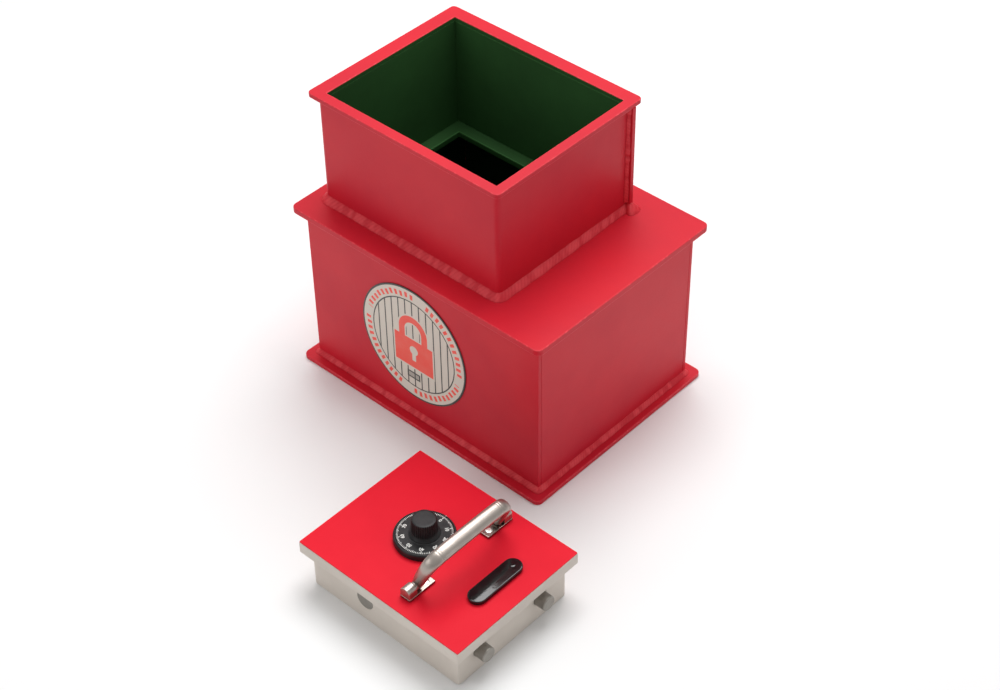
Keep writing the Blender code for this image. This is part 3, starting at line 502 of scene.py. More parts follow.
# ---------------------------------------------------------------- surfaces
@dataclass
class Surface:
    """Points as an (n, 3) array, faces as arrays of corner numbers, and wear from 0 to 1 at each point; on
    weld beads this is a painted highlight.
    """

    points: np.ndarray
    faces: list[np.ndarray]
    wear_and_highlight: np.ndarray

    @staticmethod
    def grid(points: np.ndarray, wear_and_highlight: np.ndarray | float = 0.0, wrap_rows: bool = False) -> "Surface":
        """Join neighbouring points of a grid by four-sided faces.

        Args:
            points: (rows, columns, 3); columns run round the shape and rows along it.
            wear_and_highlight: one number, one for each row, or one for each point.
            wrap_rows: the last row joins the first; otherwise one face closes each of them.

        Returns:
            The surface.
        """
        rows, columns = points.shape[:2]
        row = np.arange(rows if wrap_rows else rows - 1)[:, None]
        column = np.arange(columns)[None, :]
        above, beside = (row + 1) % rows, (column + 1) % columns
        quads = np.stack(np.broadcast_arrays(row * columns + column, row * columns + beside,
                                             above * columns + beside, above * columns + column), -1)
        faces = [quads.reshape(-1, 4)]
        if not wrap_rows:
            ring = np.arange(columns)
            faces += [ring[None, ::-1], ring[None] + (rows - 1) * columns]
        spread = np.asarray(wear_and_highlight, float)
        spread = spread[:, None] if spread.ndim == 1 else spread
        return Surface(points.reshape(-1, 3), faces, np.broadcast_to(spread, (rows, columns)).reshape(-1))

    def moved(self, matrix: Matrix) -> "Surface":
        """The same surface turned and shifted by a 4 x 4 matrix."""
        turn = np.array(matrix)
        return Surface(self.points @ turn[:3, :3].T + turn[:3, 3], self.faces, self.wear_and_highlight)

    def __add__(self, other: "Surface") -> "Surface":
        """Two surfaces as one mesh."""
        faces = self.faces + [corners + len(self.points) for corners in other.faces]
        return Surface(np.vstack([self.points, other.points]), faces,
                       np.concatenate([self.wear_and_highlight, other.wear_and_highlight]))


@dataclass
class Outline:
    """A closed line seen from above, anticlockwise: points and outward normals, both (n, 2)."""

    points: np.ndarray
    normals: np.ndarray

    @staticmethod
    def rounded(low: tuple[float, float], high: tuple[float, float],
                radii: float | tuple[float, float, float, float], steps: int = 6) -> "Outline":
        """A rectangle with quarter-circle corners.

        Corner k turns through the angle a from 90 k - 180 to 90 k - 90 degrees: the point is the corner's
        centre plus r (cos a, sin a).  A short flat strip goes before and after each arc.

        Args:
            low: the corner with the lowest X and Y.
            high: the corner with the highest X and Y.
            radii: one radius, or four in turn from the low corner, anticlockwise.
            steps: how many chords an arc has.

        Returns:
            The outline.
        """
        radius = np.broadcast_to(np.asarray(radii, float), (4,))[:, None]
        sign = np.array([(-1, -1), (1, -1), (1, 1), (-1, 1)], float)
        corner = np.where(sign > 0, np.array(high, float)[:2], np.array(low, float)[:2])
        centre = (corner - sign * radius)[:, None]
        turn = np.concatenate([[0], np.linspace(0, 1, steps + 1), [1]]) * np.pi / 2
        slide = np.concatenate([[-SUPPORT], np.zeros(steps + 1), [SUPPORT]])
        angle = np.arange(4)[:, None] * np.pi / 2 - np.pi + turn
        normal = np.stack([np.cos(angle), np.sin(angle)], -1)
        along = np.stack([-normal[..., 1], normal[..., 0]], -1)
        points = centre + radius[..., None] * normal + slide[:, None] * along
        return Outline(points.reshape(-1, 2), normal.reshape(-1, 2))

    @staticmethod
    def stadium(start: tuple[float, float], end: tuple[float, float], radius: float,
                steps: int = 20) -> "Outline":
        """A strip with half-round ends about the line from start to end, which runs along Y.

        Args:
            start: centre of the half circle at the low end.
            end: centre of the half circle at the high end.
            radius: half the strip's width.
            steps: how many chords a half circle has.

        Returns:
            The outline.
        """
        turn = np.linspace(0, np.pi, steps + 1)
        angle = np.concatenate([turn, turn + np.pi])
        centres = np.repeat([end, start], steps + 1, axis=0)
        normal = np.stack([np.cos(angle), np.sin(angle)], -1)
        return Outline(centres + radius * normal, normal)

    def offset(self, distance: float) -> np.ndarray:
        """The points moved out along their normals."""
        return self.points + self.normals * distance

    def resampled(self, spacing: float, reach: float) -> "Outline":
        """The same line with evenly spaced points, measured at a distance outside it.

        Points and normals are read off at equal steps of the length of the line moved out by reach.

        Args:
            spacing: distance between the points.
            reach: how far outside the line the length is measured.

        Returns:
            The outline.
        """
        closed = np.vstack([self.offset(reach), self.offset(reach)[:1]])
        run = np.concatenate([[0], np.cumsum(np.linalg.norm(np.diff(closed, axis=0), axis=1))])
        at = np.linspace(0, run[-1], max(8, int(run[-1] / spacing)), endpoint=False)
        both = np.hstack([self.points, self.normals])
        both = np.vstack([both, both[:1]])
        read = np.stack([np.interp(at, run, column) for column in both.T], -1)
        normal = read[:, 2:] / np.linalg.norm(read[:, 2:], axis=1, keepdims=True)
        return Outline(read[:, :2], normal)


def edge_rows(low: float, high: float, rounding: float, steps: int = 3) -> np.ndarray:
    """Rows up the side of a slab, with both its edges rounded.

    Each edge is a quarter circle: for a from -90 to 0 degrees the row is set in by r (1 - cos a) and lies
    r (1 + sin a) above the lower face, and the upper edge mirrors it.  Flat strips frame the edges.

    Args:
        low: height of the lower face.
        high: height of the upper face.
        rounding: the radius r.
        steps: how many chords an edge has.

    Returns:
        (rows, 3): how far each row is set in, its height, and its wear.
    """
    turn = np.linspace(-np.pi / 2, 0, steps + 1)
    inset, rise = rounding * (1 - np.cos(turn)), rounding * (1 + np.sin(turn))
    strip = min(SUPPORT, (high - low) / 4)
    inset = np.concatenate([[rounding + strip], inset, [0, 0], inset[::-1], [rounding + strip]])
    height = np.concatenate([[low], low + rise, [low + rounding + strip, high - rounding - strip],
                             high - rise[::-1], [high]])
    worn = np.concatenate([[0], np.ones(steps + 1), [0, 0], np.ones(steps + 1), [0]])
    return np.stack([inset, height, worn], -1)


def lifted(flat: np.ndarray, height: float | np.ndarray) -> np.ndarray:
    """(n, 2) points given a height."""
    return np.concatenate([flat, np.broadcast_to(height, (*flat.shape[:-1], 1))], -1)


def slab(outline: Outline, low: float, high: float, rounding: float = 0.0006) -> Surface:
    """A flat piece: the outline at each edge row's height, moved in along its normals by the row's inset.

    Args:
        outline: the line seen from above.
        low: height of the lower face.
        high: height of the upper face.
        rounding: radius of the rounded edges.

    Returns:
        The closed surface.
    """
    rows = edge_rows(low, high, rounding)
    points = np.stack([lifted(outline.offset(-inset), height) for inset, height, _ in rows])
    return Surface.grid(points, rows[:, 2])


def ring_slab(outer: Outline, inner: Outline, low: float, high: float, rounding: float = 0.0006) -> Surface:
    """A flat ring: rows up the outer side, then down the inner one, where the inset goes outwards.

    Args:
        outer: the outer outline.
        inner: the inner outline.
        low: height of the lower face.
        high: height of the upper face.
        rounding: radius of the rounded edges.

    Returns:
        The closed surface.
    """
    rows = edge_rows(low, high, rounding)
    up = [lifted(outer.offset(-inset), height) for inset, height, _ in rows]
    down = [lifted(inner.offset(inset), height) for inset, height, _ in rows[::-1]]
    return Surface.grid(np.stack(up + down), np.concatenate([rows[:, 2], rows[::-1, 2]]), wrap_rows=True)


def softened(corners: list[tuple[float, float]], radius: float, steps: int = 4) -> np.ndarray:
    """A broken line with its inner corners rounded.

    A corner C gives way to the curve (1-t)^2 A + 2t(1-t) C + t^2 B, where A and B lie on its two edges a
    radius away, or less than half an edge.  A flat point goes before A and after B.

    Args:
        corners: the line's (radius, height) corners.
        radius: distance of A and B from C.
        steps: how many chords a corner has.

    Returns:
        (n, 2) points.
    """
    line = np.array(corners, float)
    here = line[1:-1]
    t = np.linspace(0, 1, steps + 1)[None, :, None]
    ends = []
    for near in (line[:-2], line[2:]):
        run = near - here
        length = np.linalg.norm(run, axis=1, keepdims=True)
        reach = np.minimum(radius, 0.40 * length)
        flat = np.minimum(reach * 1.3, 0.49 * length)
        ends.append((here + run / length * reach, here + run / length * flat))
    (start, lead), (stop, tail) = ends
    curve = (1 - t) ** 2 * start[:, None] + 2 * t * (1 - t) * here[:, None] + t ** 2 * stop[:, None]
    curve = np.concatenate([lead[:, None], curve, tail[:, None]], 1)
    return np.vstack([line[:1], curve.reshape(-1, 2), line[-1:]])


def turned(profile: np.ndarray, centre: tuple[float, float, float] = (0, 0, 0), sides: int = 96,
           knurl: np.ndarray | float = 0.0, flutes: int = 0, closed: bool = False) -> Surface:
    """A piece turned on the Z axis: each profile point (r, h) becomes the ring c + (r cos a, r sin a, h).

    Args:
        profile: (n, 2) radii and heights, up the outer side.
        centre: the point c.
        sides: how many points a ring has.
        knurl: (n,) depth of the flutes cut at each row.
        flutes: how many flutes there are.
        closed: the profile joins its own start.

    Returns:
        The surface, with wear where the profile turns.
    """
    angle = np.linspace(0, TURN, sides, endpoint=False)
    depth = np.broadcast_to(knurl, len(profile))[:, None]
    radius = profile[:, :1] - depth * (0.5 + 0.5 * np.cos(angle * flutes))
    points = np.stack([radius * np.cos(angle), radius * np.sin(angle),
                       np.broadcast_to(profile[:, 1:], (len(profile), sides))], -1)
    run = np.diff(profile, axis=0)
    heading = np.arctan2(run[:, 1], run[:, 0])
    bend = np.abs(np.angle(np.exp(1j * np.diff(heading))))
    wear_and_highlight = np.concatenate([[0], np.clip(bend / 0.3, 0, 1), [0]])
    return Surface.grid(points + np.array(centre), wear_and_highlight, wrap_rows=closed)


def wander(along: np.ndarray, cells: int, seed: int) -> np.ndarray:
    """Smooth random heights from -1 to 1 on a closed run: seeded knots joined by cosine easing.

    Args:
        along: places on the run, where the whole run is 1.
        cells: how many knots there are.
        seed: the random numbers' seed.

    Returns:
        The heights.
    """
    knots = np.random.default_rng(seed).uniform(-1, 1, cells)
    at = (along % 1.0) * cells
    first = np.floor(at).astype(int) % cells
    ease = (1 - np.cos(np.pi * (at - np.floor(at)))) / 2
    return knots[first] * (1 - ease) + knots[(first + 1) % cells] * ease


@dataclass(frozen=True)
class Bead:
    """A fillet weld's size and habit."""

    leg: float
    seed: int
    ripple: float = 0.0034
    scallop: float = 0.022
    unevenness: float = 0.13
    blobs: tuple[tuple[float, float], ...] = ()
    blob_size: float = 0.42
    blob_reach: float = 0.006
    lump_pitch: float = 0.016
    grit_pitch: float = 0.005
    flatness: float = 1.65
    fill: float = 0.86
    step: float = 0.0011

    def section(self, feet: np.ndarray, out: np.ndarray, up: np.ndarray, length: float,
                closed: bool) -> Surface:
        """Carry the bead's section along a line of feet.

        The section at angle v from 0 to 90 degrees is foot + s leg (cos^f v out + sin^f v up), a nearly
        flat fillet for the flatness f, and the foot itself closes it.  The size s is the fill times 1 plus
        seeded lumps, small scalloped ripples that lag behind at the toes, and any blobs.

        Args:
            feet: (n, 3) points on the line where the two plates meet.
            out: (n, 3) directions away from the upright plate.
            up: (n, 3) directions up it.
            length: length of the whole run.
            closed: the run joins its own start.

        Returns:
            The surface, whose wear_and_highlight carries the painted highlight, 1 on the crests.
        """
        turn = np.linspace(0, np.pi / 2, 9)
        along = np.linspace(0, 1, len(feet), endpoint=not closed)[:, None]
        lag = 0.35 * self.leg * np.cos(2 * turn)[None]
        phase = (along * length + lag) / self.ripple
        scallop = np.abs(np.sin(np.pi * phase)) - 0.6
        lumps = wander(along, max(3, int(length / self.lump_pitch)), self.seed)
        grit = wander(along, max(5, int(length / self.grit_pitch)), self.seed + 1)
        size = 1 + self.unevenness * (lumps + 0.6 * grit) + self.scallop * scallop
        for x, y in self.blobs:
            gap = np.linalg.norm(feet[:, :2] - (x, y), axis=1)[:, None]
            size = size + self.blob_size * np.exp(-(gap / self.blob_reach) ** 2)
        size = np.clip(size, 0.6, 1.5)[..., None] * self.leg * self.fill
        across = (np.cos(turn) ** self.flatness)[None, :, None] * out[:, None]
        upward = (np.sin(turn) ** self.flatness)[None, :, None] * up[:, None]
        arc = feet[:, None] + size * (across + upward)
        # painted highlight: lightest on the ripple crests and halfway round the section
        crest_highlight = np.clip(0.45 + 0.5 * scallop + 0.6 * grit, 0, 1) * (0.35 + 0.65 * np.sin(2 * turn)[None])
        points = np.concatenate([arc, feet[:, None]], 1)
        wear_and_highlight = np.concatenate([crest_highlight, np.zeros((len(feet), 1))], 1)
        return Surface.grid(points, wear_and_highlight, wrap_rows=closed)

    def around(self, outline: Outline, height: float) -> Surface:
        """The bead round a closed footprint.

        Args:
            outline: the footprint.
            height: height of the plate that it lies on.

        Returns:
            The surface.
        """
        line = outline.resampled(self.step, self.leg / 2)
        feet, out = lifted(line.points, height), lifted(line.normals, 0.0)
        up = np.broadcast_to((0.0, 0.0, 1.0), feet.shape)
        length = np.linalg.norm(np.diff(feet, axis=0), axis=1).sum()
        return self.section(feet, out, up, length, True)

    def straight(self, foot: Vector, end: Vector, out: Vector, up: Vector) -> Surface:
        """The bead along a straight line.

        Args:
            foot: where the run starts.
            end: where it ends.
            out: direction away from the upright plate.
            up: direction up it.

        Returns:
            The surface.
        """
        length = (end - foot).length
        share = np.linspace(0, 1, int(length / self.step))[:, None]
        feet = np.array(foot) * (1 - share) + np.array(end) * share
        return self.section(feet, np.broadcast_to(out, feet.shape), np.broadcast_to(up, feet.shape),
                            length, False)


# ---------------------------------------------------------------- pieces
@dataclass
class Piece:
    """What a new piece is: its name, the body it rides on, its slot and the nodes it replaces."""

    name: str
    body: str
    slot: str
    replaces: tuple[str, ...] = ()

    def build(self, surface: Surface, material: bpy.types.Material, joined: tuple[Surface, ...] = (),
              holes: tuple[Surface, ...] = ()) -> bpy.types.Object:
        """Turn a surface into an object at the origin.

        Args:
            surface: the main shape.
            material: its finish.
            joined: closed shapes that are made one with it.
            holes: closed shapes that are cut out of it.

        Returns:
            The object, linked to its body.
        """
        mesh = self.mesh(surface)
        for operation, extras in (("UNION", joined), ("DIFFERENCE", holes)):
            for extra in extras:
                mesh = combined(mesh, self.mesh(extra), operation)
        return self.add(mesh, material)

    def mesh(self, surface: Surface) -> bpy.types.Mesh:
        """Put a surface into a mesh, merge its doubles and turn its faces outwards.

        Args:
            surface: points, faces and wear.

        Returns:
            The mesh.
        """
        mesh = bpy.data.meshes.new(self.name)
        faces = [corners for group in surface.faces for corners in group.tolist()]
        mesh.from_pydata(surface.points.tolist(), [], faces)
        wear_and_highlight = mesh.attributes.new("wear_and_highlight", "FLOAT", "POINT")
        wear_and_highlight.data.foreach_set("value", surface.wear_and_highlight.astype(np.float32))
        shape = bmesh.new()
        shape.from_mesh(mesh)
        bmesh.ops.remove_doubles(shape, verts=shape.verts, dist=WELD)
        bmesh.ops.recalc_face_normals(shape, faces=shape.faces)
        shape.to_mesh(mesh)
        shape.free()
        return mesh

    def add(self, mesh: bpy.types.Mesh, material: bpy.types.Material) -> bpy.types.Object:
        """Link a finished mesh as this piece.

        Args:
            mesh: the finished mesh.
            material: its finish.

        Returns:
            The object, linked to its body.
        """
        mesh.materials.clear()
        mesh.materials.append(material)
        mesh.shade_smooth()
        mesh.set_sharp_from_angle(angle=SMOOTH_BELOW)
        obj = bpy.data.objects.new(self.name, mesh)
        bpy.context.scene.collection.objects.link(obj)
        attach(obj, self.body)
        if self.replaces:
            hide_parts(*self.replaces)
        LOG.info("%s: %d faces on %s", self.name, len(mesh.polygons), self.body)
        return obj


def combined(mesh: bpy.types.Mesh, other: bpy.types.Mesh, operation: str) -> bpy.types.Mesh:
    """Join one closed mesh to another, or cut it out, and return the new mesh.

    Args:
        mesh: the mesh that is kept.
        other: the mesh that is joined or cut out.
        operation: UNION or DIFFERENCE.

    Returns:
        The new mesh.
    """
    pair = [bpy.data.objects.new("carving", each) for each in (mesh, other)]
    for obj in pair:
        bpy.context.scene.collection.objects.link(obj)
    modifier = pair[0].modifiers.new("carving", "BOOLEAN")
    modifier.operation, modifier.object = operation, pair[1]
    bpy.context.view_layer.update()
    result = bpy.data.meshes.new_from_object(pair[0].evaluated_get(bpy.context.evaluated_depsgraph_get()))
    for obj in pair:
        bpy.data.objects.remove(obj)
    return result


def bore(start: Vector, end: Vector, radius: float, sides: int = 48) -> Surface:
    """A plain round rod from one point to another, to be cut out of a piece.

    Args:
        start: middle of one end.
        end: middle of the other end.
        radius: the rod's radius.
        sides: how many flat sides it has.

    Returns:
        The closed surface.
    """
    along = end - start
    rows = np.array([(0, 0), (radius, 0), (radius, along.length), (0, along.length)])
    turn = along.to_track_quat("Z", "Y").to_matrix().to_4x4()
    return turned(rows, sides=sides).moved(Matrix.Translation(start) @ turn)


def middle(node: str) -> tuple[float, float, float]:
    """The centre of a CAD node's box."""
    low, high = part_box(node)
    return tuple((first + last) / 2 for first, last in zip(low, high))


def upright_bore(node: str, play: float, reach: float = 0.004) -> Surface:
    """A clearance hole along the Z axis round a CAD node's own box, running past both its ends.

    Args:
        node: the CAD node that passes through the hole.
        play: the gap all round it.
        reach: how far the hole runs past each end.

    Returns:
        The closed surface.
    """
    low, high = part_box(node)
    x, y, _ = middle(node)
    return bore(Vector((x, y, low.z - reach)), Vector((x, y, high.z + reach)), (high.x - low.x) / 2 + play)


def node_slab(node: str, radius: float | tuple[float, float, float, float] = 0.0012,
              rounding: float = 0.0005, drop: float = 0.0, rise: float = 0.0) -> Surface:
    """A slab with rounded edges in a CAD node's box, made longer down or up to close a joint."""
    low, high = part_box(node)
    return slab(Outline.rounded(low.xy, high.xy, radius), low.z - drop, high.z + rise, rounding)


def joint_seam(surface: Surface) -> Surface:
    """A surface with its wear halved, for edges that paint fills."""
    return Surface(surface.points, surface.faces, surface.wear_and_highlight * 0.5)


# ---------------------------------------------------------------- the safe
@dataclass
class LowerBox:
    """The box: base plate, four butted walls, the top plate with its lip, and the bead round the foot.

    The lip's size and middle and bead_leg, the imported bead's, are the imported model's own.
    """

    corner: float = 0.008
    edge: float = 0.0009
    wall_edge: float = 0.0005
    bead_leg: float = 0.007
    lip_half: tuple[float, float] = (0.114, 0.0895)
    lip_centre: tuple[float, float] = (-0.035, 0.001)
    bead: Bead = Bead(0.0062, seed=11, ripple=0.0041, unevenness=0.07)

    def plates(self, red: bpy.types.Material) -> None:
        """Build the base plate, and the top plate as a ring round the lip.

        Args:
            red: the body's paint.
        """
        Piece("base_plate_steel", "safe_body", "red_paint", ("base_plate",)).build(
            node_slab("base_plate", self.corner, self.edge), red)
        low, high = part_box("top_plate")
        (x, y), (half_x, half_y) = self.lip_centre, self.lip_half
        outer = Outline.rounded(low.xy, high.xy, self.corner)
        inner = Outline.rounded((x - half_x, y - half_y), (x + half_x, y + half_y), 0.0005)
        Piece("top_plate_steel", "safe_body", "red_paint", ("top_plate",)).build(
            ring_slab(outer, inner, low.z, high.z, self.edge), red)

    def walls(self, red: bpy.types.Material) -> None:
        """Build the four walls, whose upright edges stay nearly square."""
        for node in ("front_wall", "rear_wall", "left_wall", "right_wall"):
            Piece(f"{node}_steel", "safe_body", "red_paint", (node,)).build(
                joint_seam(node_slab(node, self.wall_edge, self.wall_edge, rise=JOINT)), red)

    def foot_bead(self, weld: bpy.types.Material) -> None:
        """Lay the bead round the foot of the walls.

        Args:
            weld: the beads' finish.
        """
        low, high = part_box("base_weld")
        leg = self.bead_leg
        foot = Outline.rounded((low.x + leg, low.y + leg), (high.x - leg, high.y - leg), 0.0006, 4)
        Piece("base_weld_bead", "safe_body", "red_weld", ("base_weld",)).build(
            self.bead.around(foot, low.z), weld)

    def dress(self, red: bpy.types.Material, weld: bpy.types.Material) -> None:
        """Build everything.

        Args:
            red: the body's paint.
            weld: the beads' finish.
        """
        self.plates(red)
        self.walls(red)
        self.foot_bead(weld)


@dataclass
class Neck:
    """The mouth: a bent shell closed by a rear plate, a rim on top, and heavy beads where they meet."""

    wall: float = 0.008
    bend: float = 0.0065
    inner_bend: float = 0.003
    bend_steps: int = 8
    shell_edge: float = 0.0001
    plate_corner: float = 0.0008
    plate_edge: float = 0.0003
    mouth_corner: float = 0.0005
    rim_gap: float = 0.00002
    plate_gap: float = 0.0003
    edge: float = 0.0008
    rim_corner: float = 0.006
    foot_bead: Bead = Bead(0.0088, seed=5, ripple=0.0052, unevenness=0.065,
                           blobs=((-0.174, 0.110), (0.107, 0.110)))
    side_bead: Bead = Bead(0.0042, seed=23, ripple=0.0046, unevenness=0.22)

    def shell_outline(self, low: Vector, high: Vector) -> Outline:
        """A U seen from above: round the outside from the rear left, then back round the inside.

        Args:
            low: the shell's lowest corner.
            high: the shell's highest corner.

        Returns:
            The outline.
        """
        out = Outline.rounded(low.xy, high.xy, (self.bend, self.bend, 0, 0), self.bend_steps)
        inside = Outline.rounded((low.x + self.wall, low.y + self.wall), (high.x - self.wall, high.y),
                                 (self.inner_bend, self.inner_bend, 0, 0), self.bend_steps)
        per_corner = len(out.points) // 4
        front = slice(0, 2 * per_corner)
        back_right = np.array([[high.x, high.y], [high.x - self.wall, high.y]])
        back_left = np.array([[low.x + self.wall, high.y], [low.x, high.y]])
        side = np.array([[1.0, 0.0], [-1.0, 0.0]])
        points = np.vstack([out.points[front], back_right, inside.points[front][::-1], back_left])
        normals = np.vstack([out.normals[front], side, -inside.normals[front][::-1], side])
        return Outline(points, normals)

    def plates(self, red: bpy.types.Material) -> None:
        """Build the shell, the rear plate and the rim.

        Args:
            red: the body's paint.
        """
        low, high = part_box("neck_shell")
        rim_low, rim_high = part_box("neck_rim")
        shell = slab(self.shell_outline(low, high), low.z, rim_low.z - self.rim_gap, self.shell_edge)
        Piece("neck_shell_steel", "safe_body", "red_paint", ("neck_shell",)).build(shell, red)
        Piece("neck_rear_plate_steel", "safe_body", "red_paint", ("neck_rear_plate",)).build(
            node_slab("neck_rear_plate", self.plate_corner, self.plate_edge, rise=JOINT), red)
        outer = Outline.rounded(rim_low.xy, rim_high.xy, self.rim_corner)
        mouth = Outline.rounded((low.x + self.wall, low.y + self.wall),
                                (high.x - self.wall, high.y + self.plate_gap), self.mouth_corner)
        Piece("neck_rim_steel", "safe_body", "red_paint", ("neck_rim",)).build(
            ring_slab(outer, mouth, rim_low.z, rim_high.z, self.edge), red)

    def footprint(self) -> Outline:
        """The neck's outline on the top plate: bent corners, and fins where the rear plate stands out."""
        low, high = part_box("neck_shell")
        fin_low, fin_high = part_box("neck_rear_plate")
        bends = (self.bend, self.bend, 0, 0)
        front = Outline.rounded(low.xy, (high.x, fin_low.y), bends, self.bend_steps)
        per_corner = len(front.points) // 4
        points = front.points[:2 * per_corner]
        normals = front.normals[:2 * per_corner]
        slant = math.sqrt(0.5)
        fins = [((high.x, fin_low.y), (slant, -slant)), ((fin_high.x, fin_low.y), (slant, -slant)),
                ((fin_high.x, fin_high.y), (slant, slant)), ((fin_low.x, fin_high.y), (-slant, slant)),
                ((fin_low.x, fin_low.y), (-slant, -slant)), ((low.x, fin_low.y), (-slant, -slant))]
        points = np.vstack([points, [place for place, _ in fins]])
        normals = np.vstack([normals, [out for _, out in fins]])
        return Outline(points, normals)

    def beads(self, weld: bpy.types.Material) -> None:
        """Lay the bead round the foot and the two upright beads in front of the rear plate.

        Args:
            weld: the beads' finish.
        """
        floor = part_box("neck_weld")[0].z
        Piece("neck_weld_bead", "safe_body", "red_weld", ("neck_weld",)).build(
            self.foot_bead.around(self.footprint(), floor), weld)
        for side, name in ((-1, "corner_weld_left"), (1, "corner_weld_right")):
            low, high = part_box(name)
            wall_x = high.x if side < 0 else low.x
            foot, end = Vector((wall_x, high.y, low.z)), Vector((wall_x, high.y, high.z))
            bead = self.side_bead.straight(foot, end, Vector((side, 0, 0)), Vector((0, -1, 0)))
            Piece(f"{name}_bead", "safe_body", "red_weld", (name,)).build(bead, weld)

    def dress(self, red: bpy.types.Material, weld: bpy.types.Material) -> None:
        """Build everything."""
        self.plates(red)
        self.beads(weld)


@dataclass
class Label:
    """The round printed label on the box's front."""

    edge: float = 0.0003

    def dress(self) -> None:
        """Build the disc, lying in the wall's plane, and its print."""
        low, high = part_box("label_disc")
        radius, thick = (high.x - low.x) / 2, high.y - low.y
        rows = softened([(0, 0), (radius, 0), (radius, thick), (0, thick)], self.edge, 3)
        x, _, z = middle("label_disc")
        stand = Matrix.Translation((x, high.y, z)) @ Matrix.Rotation(math.radians(90), 4, "X")
        disc = turned(rows, sides=160).moved(stand)
        paint = LabelPrint((x, z), radius)
        Piece("label_vinyl", "safe_body", "label_print", ("label_disc",)).build(
            disc, paint.material("label_print"))


# ---------------------------------------------------------------- the door
@dataclass
class DoorSlab:
    """The door's body: its thick plate, the red facing let in on top, and the back cover below the casing."""

    corner: float = 0.0012
    edge: float = 0.0007
    facing_edge: float = 0.0004
    cover_corner: float = 0.006
    cover_edge: float = 0.0005
    spindle_play: float = 0.0015
    plug_play: float = 0.0006
    screw_play: float = 0.0014

    def plate(self, grey: bpy.types.Material, facing: bpy.types.Material) -> None:
        """Build the plate and its facing, with holes for the dial's spindle and the key plug.

        Args:
            grey: the door's paint.
            facing: the facing's finish.
        """
        holes = (upright_bore("dial_spindle", self.spindle_play), upright_bore("key_plug", self.plug_play))
        Piece("door_plate_steel", "door", "grey_paint", ("door_plate",)).build(
            node_slab("door_plate", self.corner, self.edge), grey, holes=holes)
        Piece("door_facing_sheet", "door", "red_facing", ("door_facing",)).build(
            node_slab("door_facing", self.corner, self.facing_edge, drop=JOINT), facing, holes=holes)

    def back(self, grey: bpy.types.Material) -> None:
        """Build the back cover, with a hole round each of its screws."""
        holes = tuple(upright_bore(f"cover_screw_{number}", self.screw_play) for number in range(1, 5))
        Piece("back_cover_sheet", "door", "grey_paint", ("back_cover",)).build(
            node_slab("back_cover", self.cover_corner, self.cover_edge), grey, holes=holes)

    def dress(self, grey: bpy.types.Material, facing: bpy.types.Material) -> None:
        """Build everything."""
        self.plate(grey, facing)
        self.back(grey)


